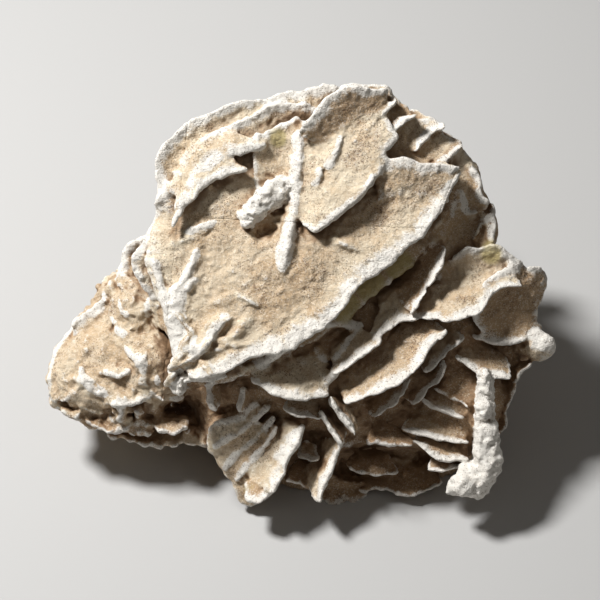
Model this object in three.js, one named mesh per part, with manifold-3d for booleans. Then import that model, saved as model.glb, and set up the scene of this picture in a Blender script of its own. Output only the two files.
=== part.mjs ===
// Gypsum sand rose: one intergrown cluster of lens-shaped gypsum plates, grown in sand.
// Millimetres, +Z up. The origin is on the ground, under the middle of the cluster.
//
// The plates are laid out in the crown's own frame: X to the right, Y up across the crown,
// Z straight out of it, with its origin at the growth centre. The whole cluster then lies
// back on the ground, and what would be below the ground is worn flat.

import * as THREE from 'three';
import { mergeVertices } from 'three/addons/utils/BufferGeometryUtils.js';
import Module from 'manifold-3d';

// ---- Driving dimensions ----------------------------------------------------------------

const LIE_BACK = 40;                          // degrees from the crown facing straight up
const GROWTH_CENTRE = new THREE.Vector3(-0.64, 0.28, 27);  // from the origin on the ground
const REAR_RIM = 0.7;                         // half the height of a rear plate's rim
const STEEP = 48;                             // degrees of lean above which a plate's edge is level
const BURIED_TAPER = 0.25;                    // how far a buried corner is drawn to the middle
const FACETS = [10, 6];                       // facets round an ellipsoid, and from pole to pole
const REAR_CORNERS = 10;                      // corners round a rear plate's outline
const REAR_WAVES = [[3, 0.45, 1.7], [5, 0.35, 2.9]];  // lobes, mm, phase a plate

// ---- Sand-filled middle ----------------------------------------------------------------
// Ellipsoids, each by the x, y and z of its middle, its three radii, and a turn about Z in
// degrees.

// Packed sand that holds the plates together.
const CORE = [
  [0, 11, 0, 29, 26, 14, 0],
  [4, -10, -1, 31, 19, 14, 0],
  [-28, -6, -2, 16, 13, 9, 0],
  [31, -2, 1, 12, 13, 10, 0],
  [14, -26, -5, 21, 11, 8, 0],
  [-10, -24, -3, 11, 10, 8, 0],
  [0, 2, -12, 30, 22, 13, 0],
  [32, -20, 0, 10.5, 12, 9, 0],
  [40, -9, 1, 7, 7, 6, 0],
  [23, -31, -8, 12, 6.5, 6, 0],
  [5, -33, -6, 15, 7, 7, 0],
  [-37, -13.4, 1, 13.4, 10.2, 8.6, 14],
  [-40.8, -13.2, -1, 9.2, 9.4, 8, 0],
  [-31, -2.5, 2, 8.6, 8.4, 8, 30],
  [-29, -12, 4, 9, 8, 7.6, 0],
  [5, -14, -12, 24, 16, 14, 0],
];

// Gaps between the plates, where the sand has fallen out.
const GAPS = [
  [18, -33.5, 5, 14, 4.6, 10, 4],
  [-1.5, -35.5, 6, 5, 3.6, 7, 60],
  [26.5, -22, 12, 9, 3.2, 5, -35],
  [-15.5, -24, 9, 4.6, 2.6, 7, 20],
];

// Chalky lumps on the crown.
const LUMPS = [
  [-6, 20.2, 19, 5, 2.9, 2.6, 34],
  [-9.2, 17.6, 18.6, 3, 2.4, 2.2, 40],
  [-22.9, -16.6, 14.8, 1.5, 3, 2.6, 4],
  [-18.8, -15.6, 17.2, 4.2, 1.3, 1.9, 4],
  [-23.4, -13.2, 16, 1.6, 1.8, 2.2, 0],
];

// ---- Plates ----------------------------------------------------------------------------
// Each row: name, height of the middle of the free edge, lean from facing out of the crown
// and the compass direction of that lean in degrees, depth from the free edge to the buried
// one (0 where the whole outline is given), thickness, half the height of the rim, and the
// x and y of the free edge.

const PLATES = [
  // crown
  ['back_disc', 12, 10, -50, 0, 4, 0.45, [
    [-33.5, 6], [-31.8, 12.3], [-29.6, 16.6], [-29.2, 21.5], [-28, 28], [-25.6, 31], [-20.9, 35],
    [-14.8, 38.3], [-7.2, 39.8], [-3.5, 41], [3.8, 42.8], [9, 42], [20, 34], [22, 20], [0, 2],
    [-22, -4],
  ]],
  ['rim_disc', 14.6, 13, -50, 0, 3, 0.45, [
    [-28.4, 17.5], [-27.2, 21.9], [-24.4, 23.2], [-22.5, 24.9], [-20.3, 28.2], [-18.9, 30.1],
    [-16.1, 32.6], [-12.7, 34.6], [-10, 36.1], [-7.8, 37.5], [-5.4, 38.5], [-3.6, 38.9],
    [-0.8, 38.8], [2.5, 38.3], [12, 30], [10, 10], [-12, 6],
  ]],
  ['inner_disc', 17.2, 10, -50, 0, 2, 0.5, [
    [-9.5, 31.6], [-7.5, 32.4], [-5.4, 33.9], [-2.3, 35.4], [0.2, 35.8], [6, 30], [4, 18],
    [-8, 20],
  ]],
  ['main_disc', 17.2, 5, 128, 0, 4.6, 0.7, [
    [-16.3, -15.6], [-12.4, -13.2], [-8.4, -11.2], [-3.4, -10.8], [0.4, -8.6], [4, -6.2],
    [7.4, -3], [10.3, 0], [12.8, 3], [17.9, 6.8], [22.6, 11], [24.9, 13.4], [26.5, 15.6],
    [28.4, 18.8], [30.1, 22.3], [31.5, 25.4], [28.5, 26.9], [23.2, 27.2], [17.6, 27.8], [13, 26.8],
    [8, 31], [-6, 33], [-17, 26.5], [-25.5, 20], [-29, 15.4], [-30.6, 9], [-28.6, 2], [-26, -6],
    [-23.4, -12.5], [-20, -16],
  ]],
  ['under_disc', 13.6, 6, 128, 0, 3.6, 0.8, [
    [-15.3, -17], [-8, -12.6], [-1, -10.2], [5.6, -6.4], [12, -1.6], [19.5, 4.6], [25.5, 10.2],
    [29.6, 16], [31.6, 22], [31, 26.5], [10, 30], [-20, 22], [-28.5, 5], [-22, -15],
  ]],
  ['band_upper', 20, 24, 128, 5.5, 2, 0.4, [
    [-26, 14.8], [-23.6, 18.4], [-21, 22], [-19.2, 24.6], [-15.6, 26.8], [-12.8, 27.7],
    [-10.6, 28.7], [-7, 30.6],
  ]],
  ['band_lower', 19.7, 24, 122, 3.2, 1.6, 0.4, [
    [-22, 19.6], [-20, 21.6], [-16.8, 22.9], [-14, 24.1], [-10.4, 25],
  ]],
  ['roof_plate', 20.2, 12, 140, 0, 3.2, 0.5, [
    [2.9, 13.2], [7.6, 16.4], [10, 18.6], [12.3, 20.9], [14.4, 23.2], [15.8, 25], [17, 28],
    [19, 32], [16, 38], [9, 40.5], [3, 36], [0, 32], [-1.5, 24], [-1.8, 17],
  ]],
  ['roof_step', 21.5, 34, 138, 6, 2, 0.5, [
    [2.9, 13.1], [5, 14.5], [7.6, 16.2], [10, 18.4], [12.3, 20.7], [14.2, 23.2], [14.4, 25.4],
  ]],
  ['roof_band', 20.4, 14, -95, 8, 2, 0.5, [
    [13.2, 25.6], [14.9, 27.2], [17.6, 27.7], [20.6, 28], [23.2, 27.3], [26.5, 27.4], [28.8, 26.9],
    [31.4, 25.9],
  ]],
  ['roof_rim', 21.6, 22, -50, 8, 2.6, 0.5, [
    [-0.4, 33.2], [1.4, 35.9], [3.6, 38.3], [6.3, 40.4], [8.6, 41.7], [11, 42], [14, 41.4],
    [17.2, 41.2],
  ]],
  ['standing_blade', 20.7, 78, 176, 9, 4.6, 0.4, [
    [-0.2, 33.6], [0, 31], [0.2, 28], [0, 24.6], [-0.6, 20.9], [-1.6, 16.9], [-2.3, 12.9],
    [-2.8, 9.5], [-3.3, 6],
  ]],
  ['fan_top_a', 20.4, 32, 134, 7, 1.8, 0.3, [[13.9, 33], [16.2, 35.4], [17.6, 37], [19.2, 38.9]]],
  ['fan_top_b', 19.8, 34, 134, 7, 1.8, 0.3, [
    [14.7, 29.2], [16.6, 30.8], [19.2, 33.4], [21.4, 35.7], [22.6, 36.9],
  ]],
  ['fan_top_c', 17.8, 32, 128, 8, 1.8, 0.3, [[22.4, 29.6], [23.9, 31.1], [25.9, 32.8], [28.2, 34.6]]],
  ['fan_top_d', 16, 34, 120, 8, 1.8, 0.45, [[27.2, 26.8], [29, 27.6], [31, 29.2], [31.9, 30.6]]],
  ['fan_top_e', 15.4, 12, -40, 0, 3, 0.5, [
    [8, 41.5], [16.6, 42], [19.2, 39.2], [22.9, 36.6], [26.5, 35.2], [29.2, 32], [31.8, 30.2],
    [35, 25], [30, 18], [10, 26],
  ]],
  ['fan_side_a', 13.6, 30, 170, 9, 2, 0.45, [
    [31.4, 26], [34.4, 26], [36.3, 23.4], [37.1, 20.6], [38.3, 18.8], [36, 17.2],
  ]],
  ['fan_side_b', 12.2, 34, 155, 9, 2, 0.45, [
    [38.4, 19], [39.7, 16], [39.3, 12.8], [38.8, 11], [36, 9],
  ]],
  ['fan_side_c', 14.2, 48, 150, 5, 1.3, 0.45, [[31.4, 21.6], [32.4, 19.8], [33.2, 17.6], [35.6, 16.8]]],
  ['fan_side_d', 13.2, 50, 205, 5, 1.2, 0.45, [[38, 16.2], [36.6, 14.6], [35.4, 12.8]]],
  ['fan_floor', 10.6, 22, -20, 0, 3.4, 0.45, [
    [26, 12], [30, 22], [34.4, 26.4], [37.2, 21], [39.8, 16], [39.4, 11], [36, 4], [28, 2],
  ]],
  // left side and lobe
  ['left_band', 18.9, 62, -8, 7, 4.6, 0.8, [
    [-24.6, 3.6], [-25.4, 1], [-25.4, -2], [-25.2, -5.4], [-24.6, -8.6], [-23.9, -11.6],
  ]],
  ['face_ridge', 20.3, 66, 146, 4, 2.5, 0.3, [
    [-14.3, -2.3], [-16.6, -4.8], [-18.2, -7], [-19.4, -9.2], [-20.9, -11.7],
  ]],
  ['lobe_lip', 9.2, 24, 96, 8, 2, 0.6, [
    [-38.2, -20.4], [-34.7, -20.6], [-31.6, -20], [-28.9, -18.9], [-26.6, -19.6],
  ]],
  ['lobe_under_a', 4.4, 34, 85, 7, 2.2, 0.6, [
    [-46.6, -22.6], [-42, -24.6], [-38, -25.6], [-34, -26.2], [-29.5, -26],
  ]],
  ['lobe_under_b', 5.4, 44, 72, 6, 1.8, 0.6, [[-31, -24.6], [-27.6, -26.4], [-23, -26]]],
  ['lobe_under_d', 1, 32, 90, 9, 2.6, 0.6, [
    [-37.5, -26.6], [-33.5, -28.6], [-29.2, -29.4], [-24, -29.2], [-19.6, -29.2],
  ]],
  ['lobe_under_e', 2.4, 30, 88, 8, 2.2, 0.6, [[-45, -22.4], [-41.5, -24.8], [-37, -26.6]]],
  ['lobe_top', 3.6, 24, -45, 0, 3.4, 0.6, [
    [-46.8, -5.2], [-43.7, -2.6], [-39.2, 0.6], [-37.2, 2], [-35.6, 6.2], [-34.4, 9.9],
    [-32.4, 11.4], [-27, 6], [-28, -8], [-40, -14],
  ]],
  // right side
  ['arc_blade', 16.6, 40, 152, 8, 1.6, 0.3, [
    [28.8, 10.4], [28.5, 8], [27.5, 5.6], [26.3, 2.9], [24.6, 0.4], [22.5, -2.9],
  ]],
  ['right_shelf', 15, 26, 104, 12, 2.2, 0.3, [
    [14.8, -7.9], [18.1, -6.4], [21, -4.6], [24.6, -4.4], [28, -4.8], [31, -4.9], [33.2, -4.2],
    [36.4, -2.9], [38.2, 0], [40.4, 2], [44.3, 3],
  ]],
  ['right_rim', 13.6, 30, -80, 8, 2, 0.45, [
    [30.2, 8.2], [31.8, 10.4], [33.5, 11.1], [36.2, 10.8], [38.1, 11.5], [40.2, 11.1], [42.1, 9.7],
    [43.6, 8.3],
  ]],
  ['right_wing', 10.6, 24, -30, 0, 2.2, 0.45, [
    [43, 8], [45, 7.4], [47.1, 7.6], [49, 6.8], [49.7, 4.5], [49.1, 2], [48.1, -1], [47.1, -3.8],
    [47.8, -6], [42, -8], [35, -4], [37, 4],
  ]],
  ['step_a', 15.8, 30, 118, 7, 1.8, 0.3, [[16.9, -7.9], [13.9, -10.6], [10.3, -13.1], [7.2, -14.3]]],
  ['step_b', 14.6, 26, 122, 10, 2, 0.3, [
    [29.6, -6.2], [27, -9.4], [24.8, -12.3], [22.4, -15.2], [18.9, -17.5], [13.9, -19.3],
    [9.4, -20.4],
  ]],
  ['step_c', 12.6, 34, 132, 9, 1.6, 0.3, [[33.3, -6.9], [31, -9.9], [28.1, -12.5], [25.6, -14.6]]],
  ['step_d', 12.2, 40, 140, 7, 1.4, 0.3, [[22.6, -15.8], [20.8, -18.8], [18.9, -21.4], [15.8, -23.6]]],
  ['step_e', 10.8, 38, 138, 7, 1.3, 0.3, [[29.8, -12.2], [29.3, -15.5], [27.1, -18.1], [24, -20.7]]],
  ['side_shelf', 10.8, 32, 76, 7, 1.8, 0.3, [
    [31.6, -11.6], [34.6, -14.2], [38.1, -15.4], [42.3, -15.9],
  ]],
  ['side_shelf_b', 11, 34, 86, 6, 1.6, 0.45, [[35.4, -7.4], [38, -8.4], [40.6, -8.9], [45, -8.4]]],
  ['side_leaf_a', 9.8, 38, 58, 5, 1.3, 0.4, [[28.3, -17.2], [30.3, -19.2], [33.6, -21.4]]],
  ['side_leaf_b', 9.4, 38, 66, 5, 1.4, 0.3, [[25.4, -19.8], [28.1, -22.5], [32.3, -24]]],
  ['side_leaf_c', 9, 36, 76, 6, 1.5, 0.3, [[20.8, -25.9], [24.6, -27.8], [28.1, -28.9], [32.8, -29.4]]],
  ['side_leaf_d', 8.2, 36, 76, 6, 1.5, 0.3, [
    [22.2, -28.8], [25.3, -31.7], [27.8, -33.3], [30.6, -33.4], [33, -32.6],
  ]],
  ['side_leaf_e', 7.2, 40, 98, 5, 1.4, 0.3, [[25.2, -34.7], [27.6, -35.3], [31.9, -34]]],
  ['under_leaf', 8.8, 32, 86, 6, 1.5, 0.4, [[13.7, -28.6], [17.4, -29.8], [21.9, -29.7]]],
  ['outer_leaf', 5, 46, 186, 8, 2, 0.4, [
    [43.1, -15.6], [43.3, -19.2], [42.3, -21.9], [41.9, -25.3], [39.8, -27.8], [39.6, -31],
  ]],
  ['outer_leaf_b', 8, 48, 200, 6, 1.8, 0.4, [[46.4, -12.6], [44.3, -14.9], [43, -17]]],
  ['right_tip', 10, 44, -120, 7, 4, 1, [
    [45.4, -5.4], [47.6, -6.6], [49.6, -7.9], [50.8, -9.6], [50.3, -10.9],
  ]],
  // front
  ['petal', 15.6, 22, 88, 9, 1.8, 0.5, [
    [-9.8, -15.6], [-7.5, -17.7], [-4.1, -19.1], [0, -19.7], [4.2, -19.1], [6.2, -18.4],
  ]],
  ['petal_low', 12.8, 36, 80, 6, 1.4, 0.3, [[-3.3, -21.8], [-1.1, -23.3], [2.4, -24], [3.9, -23.7]]],
  ['blade_left', 11.4, 40, 150, 11, 2.4, 0.5, [
    [0.6, -24.6], [0.4, -27.3], [-1.9, -31.4], [-4.2, -35.6], [-6.2, -38.8],
  ]],
  ['blade_left_e', 3.6, 24, -130, 0, 3.2, 0.5, [
    [-8.9, -41.1], [-11.3, -39.9], [-12.8, -37.6], [-14.6, -35.2], [-17.6, -31.7], [-19.4, -29.2],
    [-17, -24], [-8, -24], [-3, -31], [-5, -38],
  ]],
  ['blade_foot', 9, 30, 140, 6, 2, 0.5, [[-5.6, -38.6], [-7.6, -40.4], [-9.4, -41], [-11.2, -39.8]]],
  ['spur_right', 15.2, 62, 26, 6, 1.8, 0.5, [[6.5, -18.7], [8.1, -21.6], [10.3, -25.6], [11.9, -27]]],
  ['spur_left', 13.4, 62, 30, 6, 1.8, 0.5, [[4.5, -21.6], [5.6, -24.6], [7.8, -27.6], [9, -28.8]]],
  ['blade_mid', 10.6, 54, 158, 9, 2.2, 0.5, [
    [8.6, -27.6], [7.9, -31.4], [6.3, -34.8], [4.8, -38], [3.4, -40.5],
  ]],
  ['shelf_mid', 8, 36, 92, 5, 1.3, 0.3, [[-1.4, -32.3], [1, -33.1], [3.3, -33]]],
  ['shelf_mid_b', 4.6, 30, 92, 6, 1.6, 0.4, [[-3.4, -36.6], [0, -38.2], [3, -38.6]]],
  ['tooth_a', 14.4, 72, 2, 5, 1.4, 0.5, [[-17.4, -16.4], [-17.9, -19.7], [-17, -22.6]]],
  ['tooth_b', 13.4, 72, 6, 5, 1.3, 0.5, [[-11.2, -17.8], [-11.8, -20.4], [-12.3, -22.6]]],
  ['deep_leaf_a', -0.5, 34, 84, 8, 2, 0.4, [
    [11.4, -38.6], [14, -38.9], [17.4, -39.2], [21, -40], [24.3, -40], [28.5, -37],
  ]],
  ['deep_leaf_b', 3, 32, 96, 6, 1.6, 0.4, [[9.6, -34.4], [14, -35.6], [18.6, -35.2]]],
  ['deep_leaf_c', -1.5, 28, 90, 8, 2.2, 0.4, [
    [3, -40.2], [4.6, -41.6], [6.7, -42.5], [11, -41.9], [13, -39],
  ]],
  ['thick_blade', 12.6, 82, 178, 9, 4.4, 1.9, [
    [37, -15.6], [36.4, -19], [36.3, -23], [36.7, -28], [36.6, -33], [35.4, -37],
  ]],
  ['thick_foot', 10, 40, 60, 0, 4.4, 1.9, [
    [29.2, -35.6], [30.4, -38.3], [32.9, -39.4], [35.8, -38.2], [37.4, -36], [35, -32.6],
    [31.6, -33.2],
  ]],
  // flat plates that the cluster lies on
  ['bed_plate', -8.6, 40, 90, 0, 6.5, 0.8, [
    [-20, -22], [-10, -29], [2, -30.5], [14, -29], [24, -22], [25, -8], [12, 0], [-8, 0],
    [-20, -8],
  ]],
  ['bed_front', -5.2, 42, 84, 12, 4, 0.8, [[-2, -32], [6, -33.6], [18, -34.2], [27, -31]]],
  ['bed_left', -8.7, 40, 98, 13, 4, 0.8, [[-31, -23], [-24, -25], [-16, -25], [-9, -22.6]]],
];

// Plates that stand out all over the back, set out on a golden-angle spiral.
const REAR = {
  count: 22,
  middle: [1, 4, -7],
  reach: [29, 24, 17],        // how far out their middles are
  band: [-0.98, 0.02],        // from straight behind (-1) to the crown's edge (0)
  long: [8.5, 15],            // least and most half length
  width: 0.74,                // half width as a share of the half length
  thick: [2.2, 3.6],
  tip: [12, 46],              // degrees that a plate lies over from standing straight out
};

const DEGREE = Math.PI / 180;
const GOLDEN_ANGLE = 137.508 * DEGREE;

const wasm = await Module();
wasm.setup();

/** A number in a range that looks random, but is always the same for one count and use. */
function scatter(count, use, [low, high]) {
  const wave = Math.sin(count * 12.9898 + use * 78.233) * 43758.5453;
  return low + (high - low) * (wave - Math.floor(wave));
}

/** Turns a closed three.js geometry into a solid that can be joined and cut. */
function toSolid(geometry) {
  geometry.deleteAttribute('normal');
  geometry.deleteAttribute('uv');
  const merged = mergeVertices(geometry, 1e-4);
  const corners = merged.index.array;
  const triVerts = [];
  for (let i = 0; i < corners.length; i += 3) {
    const [a, b, c] = corners.slice(i, i + 3);
    if (a !== b && b !== c && c !== a) triVerts.push(a, b, c);
  }
  return new wasm.Manifold(new wasm.Mesh({
    numProp: 3,
    vertProperties: new Float32Array(merged.attributes.position.array),
    triVerts: new Uint32Array(triVerts),
  }));
}

/** A lens on any outline in its own plane, with an upright rim. */
function lens(corners, thick, rim) {
  const count = corners.length;
  const middle = corners.reduce((sum, next) => sum.add(next), new THREE.Vector2()).divideScalar(count);
  const places = [middle.x, middle.y, thick / 2, middle.x, middle.y, -thick / 2];
  const faces = [];
  corners.forEach((corner, i) => {
    places.push(corner.x, corner.y, rim, corner.x, corner.y, -rim);
    const [top, under] = [2 + 2 * i, 3 + 2 * i];
    const [nextTop, nextUnder] = [2 + 2 * ((i + 1) % count), 3 + 2 * ((i + 1) % count)];
    faces.push(0, top, nextTop, 1, nextUnder, under, top, under, nextTop, under, nextUnder, nextTop);
  });
  const geometry = new THREE.BufferGeometry();
  geometry.setAttribute('position', new THREE.Float32BufferAttribute(places, 3));
  geometry.setIndex(THREE.ShapeUtils.area(corners) > 0 ? faces : faces.reverse());
  return geometry;
}

/** A plate's own axes in the crown frame: along its length, across it, and out of its face. */
function plateAxes(lean, toward) {
  const face = new THREE.Vector3(
    Math.sin(lean) * Math.cos(toward),
    Math.sin(lean) * Math.sin(toward),
    Math.cos(lean),
  );
  const along = new THREE.Vector3(-Math.sin(toward), Math.cos(toward), 0);
  const across = new THREE.Vector3().crossVectors(face, along);
  return new THREE.Matrix4().makeBasis(along, across, face);
}

/** The angle of a plate's lean: square to its free edge, on the side that the row gives. */
function leanAngle(toward, depth, edge) {
  if (depth === 0) return toward;
  const [first, last] = [edge[0], edge[edge.length - 1]];
  const square = Math.atan2(last[0] - first[0], first[1] - last[1]);
  return Math.cos(square - toward) > 0 ? square : square + Math.PI;
}

/** One plate as a solid, in the crown frame. */
function plateSolid([, height, leanDegrees, towardDegrees, depth, thick, rim, edge]) {
  const lean = leanDegrees * DEGREE;
  const toward = leanAngle(towardDegrees * DEGREE, depth, edge);
  const axes = plateAxes(lean, toward);
  const [along, across, face] = [0, 1, 2].map((i) => new THREE.Vector3().setFromMatrixColumn(axes, i));
  const mean = [0, 1].map((i) => edge.reduce((sum, place) => sum + place[i], 0) / edge.length);
  const steep = depth > 0 && leanDegrees > STEEP;
  const free = edge.map(([x, y]) => {
    const out = (x - mean[0]) * Math.cos(toward) + (y - mean[1]) * Math.sin(toward);
    if (!steep) return new THREE.Vector3(x, y, height - out * Math.tan(lean));
    return new THREE.Vector3(x - out * Math.cos(toward), y - out * Math.sin(toward), height);
  });
  const buried = [];
  if (depth > 0) {
    const middle = free.reduce((sum, place) => sum.add(place), new THREE.Vector3()).divideScalar(free.length);
    for (const end of [free[free.length - 1], free[0]]) {
      const inner = end.clone().addScaledVector(across, -depth).lerp(middle, BURIED_TAPER);
      buried.push(inner);
    }
  }
  const outline = [...free, ...buried];
  const origin = new THREE.Box3().setFromPoints(outline).getCenter(new THREE.Vector3());
  const corners = outline.map((place) => {
    const arm = place.clone().sub(origin);
    return new THREE.Vector2(arm.dot(along), arm.dot(across));
  });
  const geometry = lens(corners, thick, rim);
  geometry.applyMatrix4(new THREE.Matrix4().makeBasis(along, across, face));
  geometry.translate(origin.x, origin.y, origin.z);
  return toSolid(geometry);
}

/** Corners of a wavy oval. */
function oval(long, short, count) {
  const size = Math.sqrt(long / 9);
  return Array.from({ length: REAR_CORNERS }, (_, i) => {
    const angle = (2 * Math.PI * i) / REAR_CORNERS;
    let waves = 0;
    for (const [lobes, height, phase] of REAR_WAVES) {
      waves += size * height * Math.sin(lobes * angle + phase * count);
    }
    return new THREE.Vector2((long + waves) * Math.cos(angle), (short + waves) * Math.sin(angle));
  });
}

/** The plates that stand out at the back, as solids in the crown frame. */
function rearSolids() {
  const [behind, edge] = REAR.band;
  return Array.from({ length: REAR.count }, (_, i) => {
    const height = behind + (edge - behind) * (i / (REAR.count - 1));
    const turn = i * GOLDEN_ANGLE;
    const level = Math.sqrt(1 - height * height);
    const out = new THREE.Vector3(level * Math.cos(turn), level * Math.sin(turn), height);
    const around = new THREE.Vector3(-Math.sin(turn), Math.cos(turn), 0);
    const down = new THREE.Vector3().crossVectors(out, around);
    const twist = scatter(i, 0, [0, 2 * Math.PI]);
    const tip = scatter(i, 1, REAR.tip) * DEGREE;
    const face = around.multiplyScalar(Math.cos(twist) * Math.cos(tip))
      .addScaledVector(down, Math.sin(twist) * Math.cos(tip))
      .addScaledVector(out, Math.sin(tip));
    if (face.z < 0) face.negate();
    const long = scatter(i, 2, REAR.long);
    const geometry = lens(oval(long, long * REAR.width, i), scatter(i, 3, REAR.thick), REAR_RIM);
    geometry.applyMatrix4(plateAxes(Math.acos(face.z), Math.atan2(face.y, face.x)));
    geometry.translate(
      REAR.middle[0] + REAR.reach[0] * out.x,
      REAR.middle[1] + REAR.reach[1] * out.y,
      REAR.middle[2] + REAR.reach[2] * out.z,
    );
    return toSolid(geometry);
  });
}

/** One ellipsoid, in the crown frame. */
function ellipsoid([x, y, z, wide, tall, deep, turn]) {
  const geometry = new THREE.SphereGeometry(1, FACETS[0], FACETS[1]);
  geometry.rotateX(Math.PI / 2);
  geometry.scale(wide, tall, deep);
  geometry.rotateZ(turn * DEGREE);
  geometry.translate(x, y, z);
  return toSolid(geometry);
}

/** Solids joined into one. */
function joined(solids) {
  return solids.reduce((whole, next) => whole.add(next));
}

/** The ground as a block, whose top is the resting plane. */
function groundSolid() {
  const side = 300;
  const geometry = new THREE.BoxGeometry(side, side, side);
  geometry.translate(0, 0, -side / 2);
  return toSolid(geometry);
}

/** The triangles of a solid as a three.js geometry. */
function toGeometry(solid) {
  const mesh = solid.getMesh();
  const geometry = new THREE.BufferGeometry();
  geometry.setAttribute('position', new THREE.BufferAttribute(mesh.vertProperties, 3));
  geometry.setIndex(new THREE.BufferAttribute(mesh.triVerts, 1));
  return geometry;
}

/** Keeps only the outer skin: pockets shut in between plates are packed with sand. */
function outerSkin(geometry) {
  const corners = geometry.index.array;
  const owner = Array.from({ length: geometry.attributes.position.count }, (_, i) => i);
  const root = (i) => {
    let top = i;
    while (owner[top] !== top) {
      owner[top] = owner[owner[top]];
      top = owner[top];
    }
    return top;
  };
  for (let i = 0; i < corners.length; i += 3) {
    owner[root(corners[i])] = root(corners[i + 1]);
    owner[root(corners[i + 1])] = root(corners[i + 2]);
  }
  const skins = new Map();
  for (let i = 0; i < corners.length; i += 3) {
    const skin = root(corners[i]);
    if (!skins.has(skin)) skins.set(skin, []);
    skins.get(skin).push(corners[i], corners[i + 1], corners[i + 2]);
  }
  const outer = [...skins.values()].reduce((most, next) => (next.length > most.length ? next : most));
  geometry.setIndex(outer);
  return geometry;
}

/** The whole cluster: everything joined, laid back on the ground and worn flat there. */
function roseGeometry() {
  const sand = GAPS.map(ellipsoid).reduce((left, gap) => left.subtract(gap), joined(CORE.map(ellipsoid)));
  const grown = joined([sand, ...LUMPS.map(ellipsoid), ...PLATES.map(plateSolid), ...rearSolids()]);
  const crown = toGeometry(grown);
  crown.rotateX(LIE_BACK * DEGREE);
  crown.translate(...GROWTH_CENTRE.toArray());
  const worn = outerSkin(toGeometry(toSolid(crown).subtract(groundSolid())));
  worn.computeVertexNormals();
  return worn;
}

const sandyGypsum = new THREE.MeshStandardMaterial({ color: 0xc6a67e, roughness: 0.92, metalness: 0 });
const rose = new THREE.Mesh(roseGeometry(), sandyGypsum);
rose.name = 'sand_rose';

const part = new THREE.Group();
part.add(rose);

export default part;
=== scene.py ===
"""Gypsum sand rose: one intergrown cluster of thin, white-rimmed gypsum plates full of desert sand.

The cluster is grown as one solid on a fine grid of distances: every plate is joined to its
neighbours with a small fillet of packed sand, fine ridges grow out of the plates, and grains of
sand stick to the faces. Lengths are millimetres in the crown's own frame (X right, Y up across
the crown, Z straight out of it, origin at the growth centre) until a mesh is made, which is in
metres in the part's frame.
"""

import logging
import math
from dataclasses import dataclass, field
from enum import Enum
from typing import Any, Callable, ClassVar, Iterator, Sequence

import bpy
import numpy as np
import openvdb
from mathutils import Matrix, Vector

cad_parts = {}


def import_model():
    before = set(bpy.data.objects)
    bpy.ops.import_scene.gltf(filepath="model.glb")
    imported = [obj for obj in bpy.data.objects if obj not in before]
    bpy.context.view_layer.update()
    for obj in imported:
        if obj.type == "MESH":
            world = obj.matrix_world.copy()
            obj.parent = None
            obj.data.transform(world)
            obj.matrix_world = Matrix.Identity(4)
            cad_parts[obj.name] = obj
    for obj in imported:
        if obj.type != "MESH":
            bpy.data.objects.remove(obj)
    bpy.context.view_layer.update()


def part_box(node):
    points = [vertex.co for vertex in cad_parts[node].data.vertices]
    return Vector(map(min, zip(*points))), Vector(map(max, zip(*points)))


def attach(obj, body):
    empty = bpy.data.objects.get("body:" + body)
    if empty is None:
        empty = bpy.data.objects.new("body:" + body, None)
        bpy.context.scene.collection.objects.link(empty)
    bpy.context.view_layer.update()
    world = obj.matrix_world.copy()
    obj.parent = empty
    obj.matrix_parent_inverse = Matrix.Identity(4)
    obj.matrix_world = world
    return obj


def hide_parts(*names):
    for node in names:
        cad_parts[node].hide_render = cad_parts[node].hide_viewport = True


LOG = logging.getLogger("sand_rose")

Triple = tuple[float, float, float]
Colour = tuple[float, float, float]

CLUSTER_LENGTH = 101.287  # along X, in the crown's frame
GROWTH_CENTRE = (-0.64, 0.28, 27.0)  # X, Y and Z of the part, from the middle of its underside
LIE_BACK = 40.0  # degrees from the crown facing straight up
AIM_HEIGHT = 8.0  # how far out from the growth centre the camera and the lights are aimed


# ---- The plates --------------------------------------------------------------------------


@dataclass(frozen=True)
class Habit:
    """How a family of plates grew.

    Attributes:
        edge: Radius that the free edge is rounded to, at most.
        bow: How far the rim curls up out of the face.
        taper: Distance from the edge over which the plate thins and curls.
        nicks: Depth of the nicks in the edge.
        rim: Width of the chalky rim.
        white: How white the rim is, from 0 to 1.
        chalk: How much chalk covers the faces, from 0 to 1.
        stain: How brown the sand on the faces is, from 0 to 1.
        fillet: Size of the sand fillet where the plate meets the others.
        rise: How far the free edge stands above the sand, or 0 where its height is given.
    """

    edge: float = 0.38
    bow: float = 0.7
    taper: float = 5.0
    nicks: float = 0.14
    rim: float = 1.6
    white: float = 1.0
    chalk: float = 0.0
    stain: float = 0.25
    fillet: float = 0.8
    rise: float = 0.0


RIDGE = Habit(edge=0.7, bow=2.7, taper=8.0, nicks=0.09, rim=4.6, stain=0.1, fillet=1.4)
SIDE = Habit(edge=0.8, bow=0.3, nicks=0.12, rim=1.6, white=0.5, stain=0.5, fillet=1.6)
DISC = Habit(edge=0.45, bow=1.5, taper=6.0, nicks=0.08, rim=3.0, white=0.95, stain=0.3, fillet=1.4)
BROAD = Habit(edge=0.4, bow=0.3, taper=3.0, nicks=0.12, rim=3.6, stain=0.1, fillet=1.8)
SOFT = Habit(edge=0.5, bow=0.6, taper=6.0, nicks=0.10, rim=1.6, white=0.9, fillet=1.6)
SHELL = Habit(edge=0.32, bow=1.2, taper=4.5, nicks=0.12, rim=3.0, stain=0.45, fillet=1.0)
FAN = Habit(edge=0.45, bow=0.8, taper=5.0, nicks=0.08, rim=2.4, white=0.9, stain=0.6, fillet=1.6)
# Plates deep in the cluster: their full brown stain is partly real staining and partly painted shade.
DEEP = Habit(edge=0.38, bow=0.6, nicks=0.18, rim=1.0, white=0.4, stain=1.0)
BLADE = Habit(edge=0.36, bow=0.0, taper=2.2, nicks=0.09, rim=3.0, fillet=1.2, rise=1.3)
THICK = Habit(edge=0.5, bow=0.7, taper=4.0, nicks=0.09, rim=3.0, stain=0.35, fillet=1.2)
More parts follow.
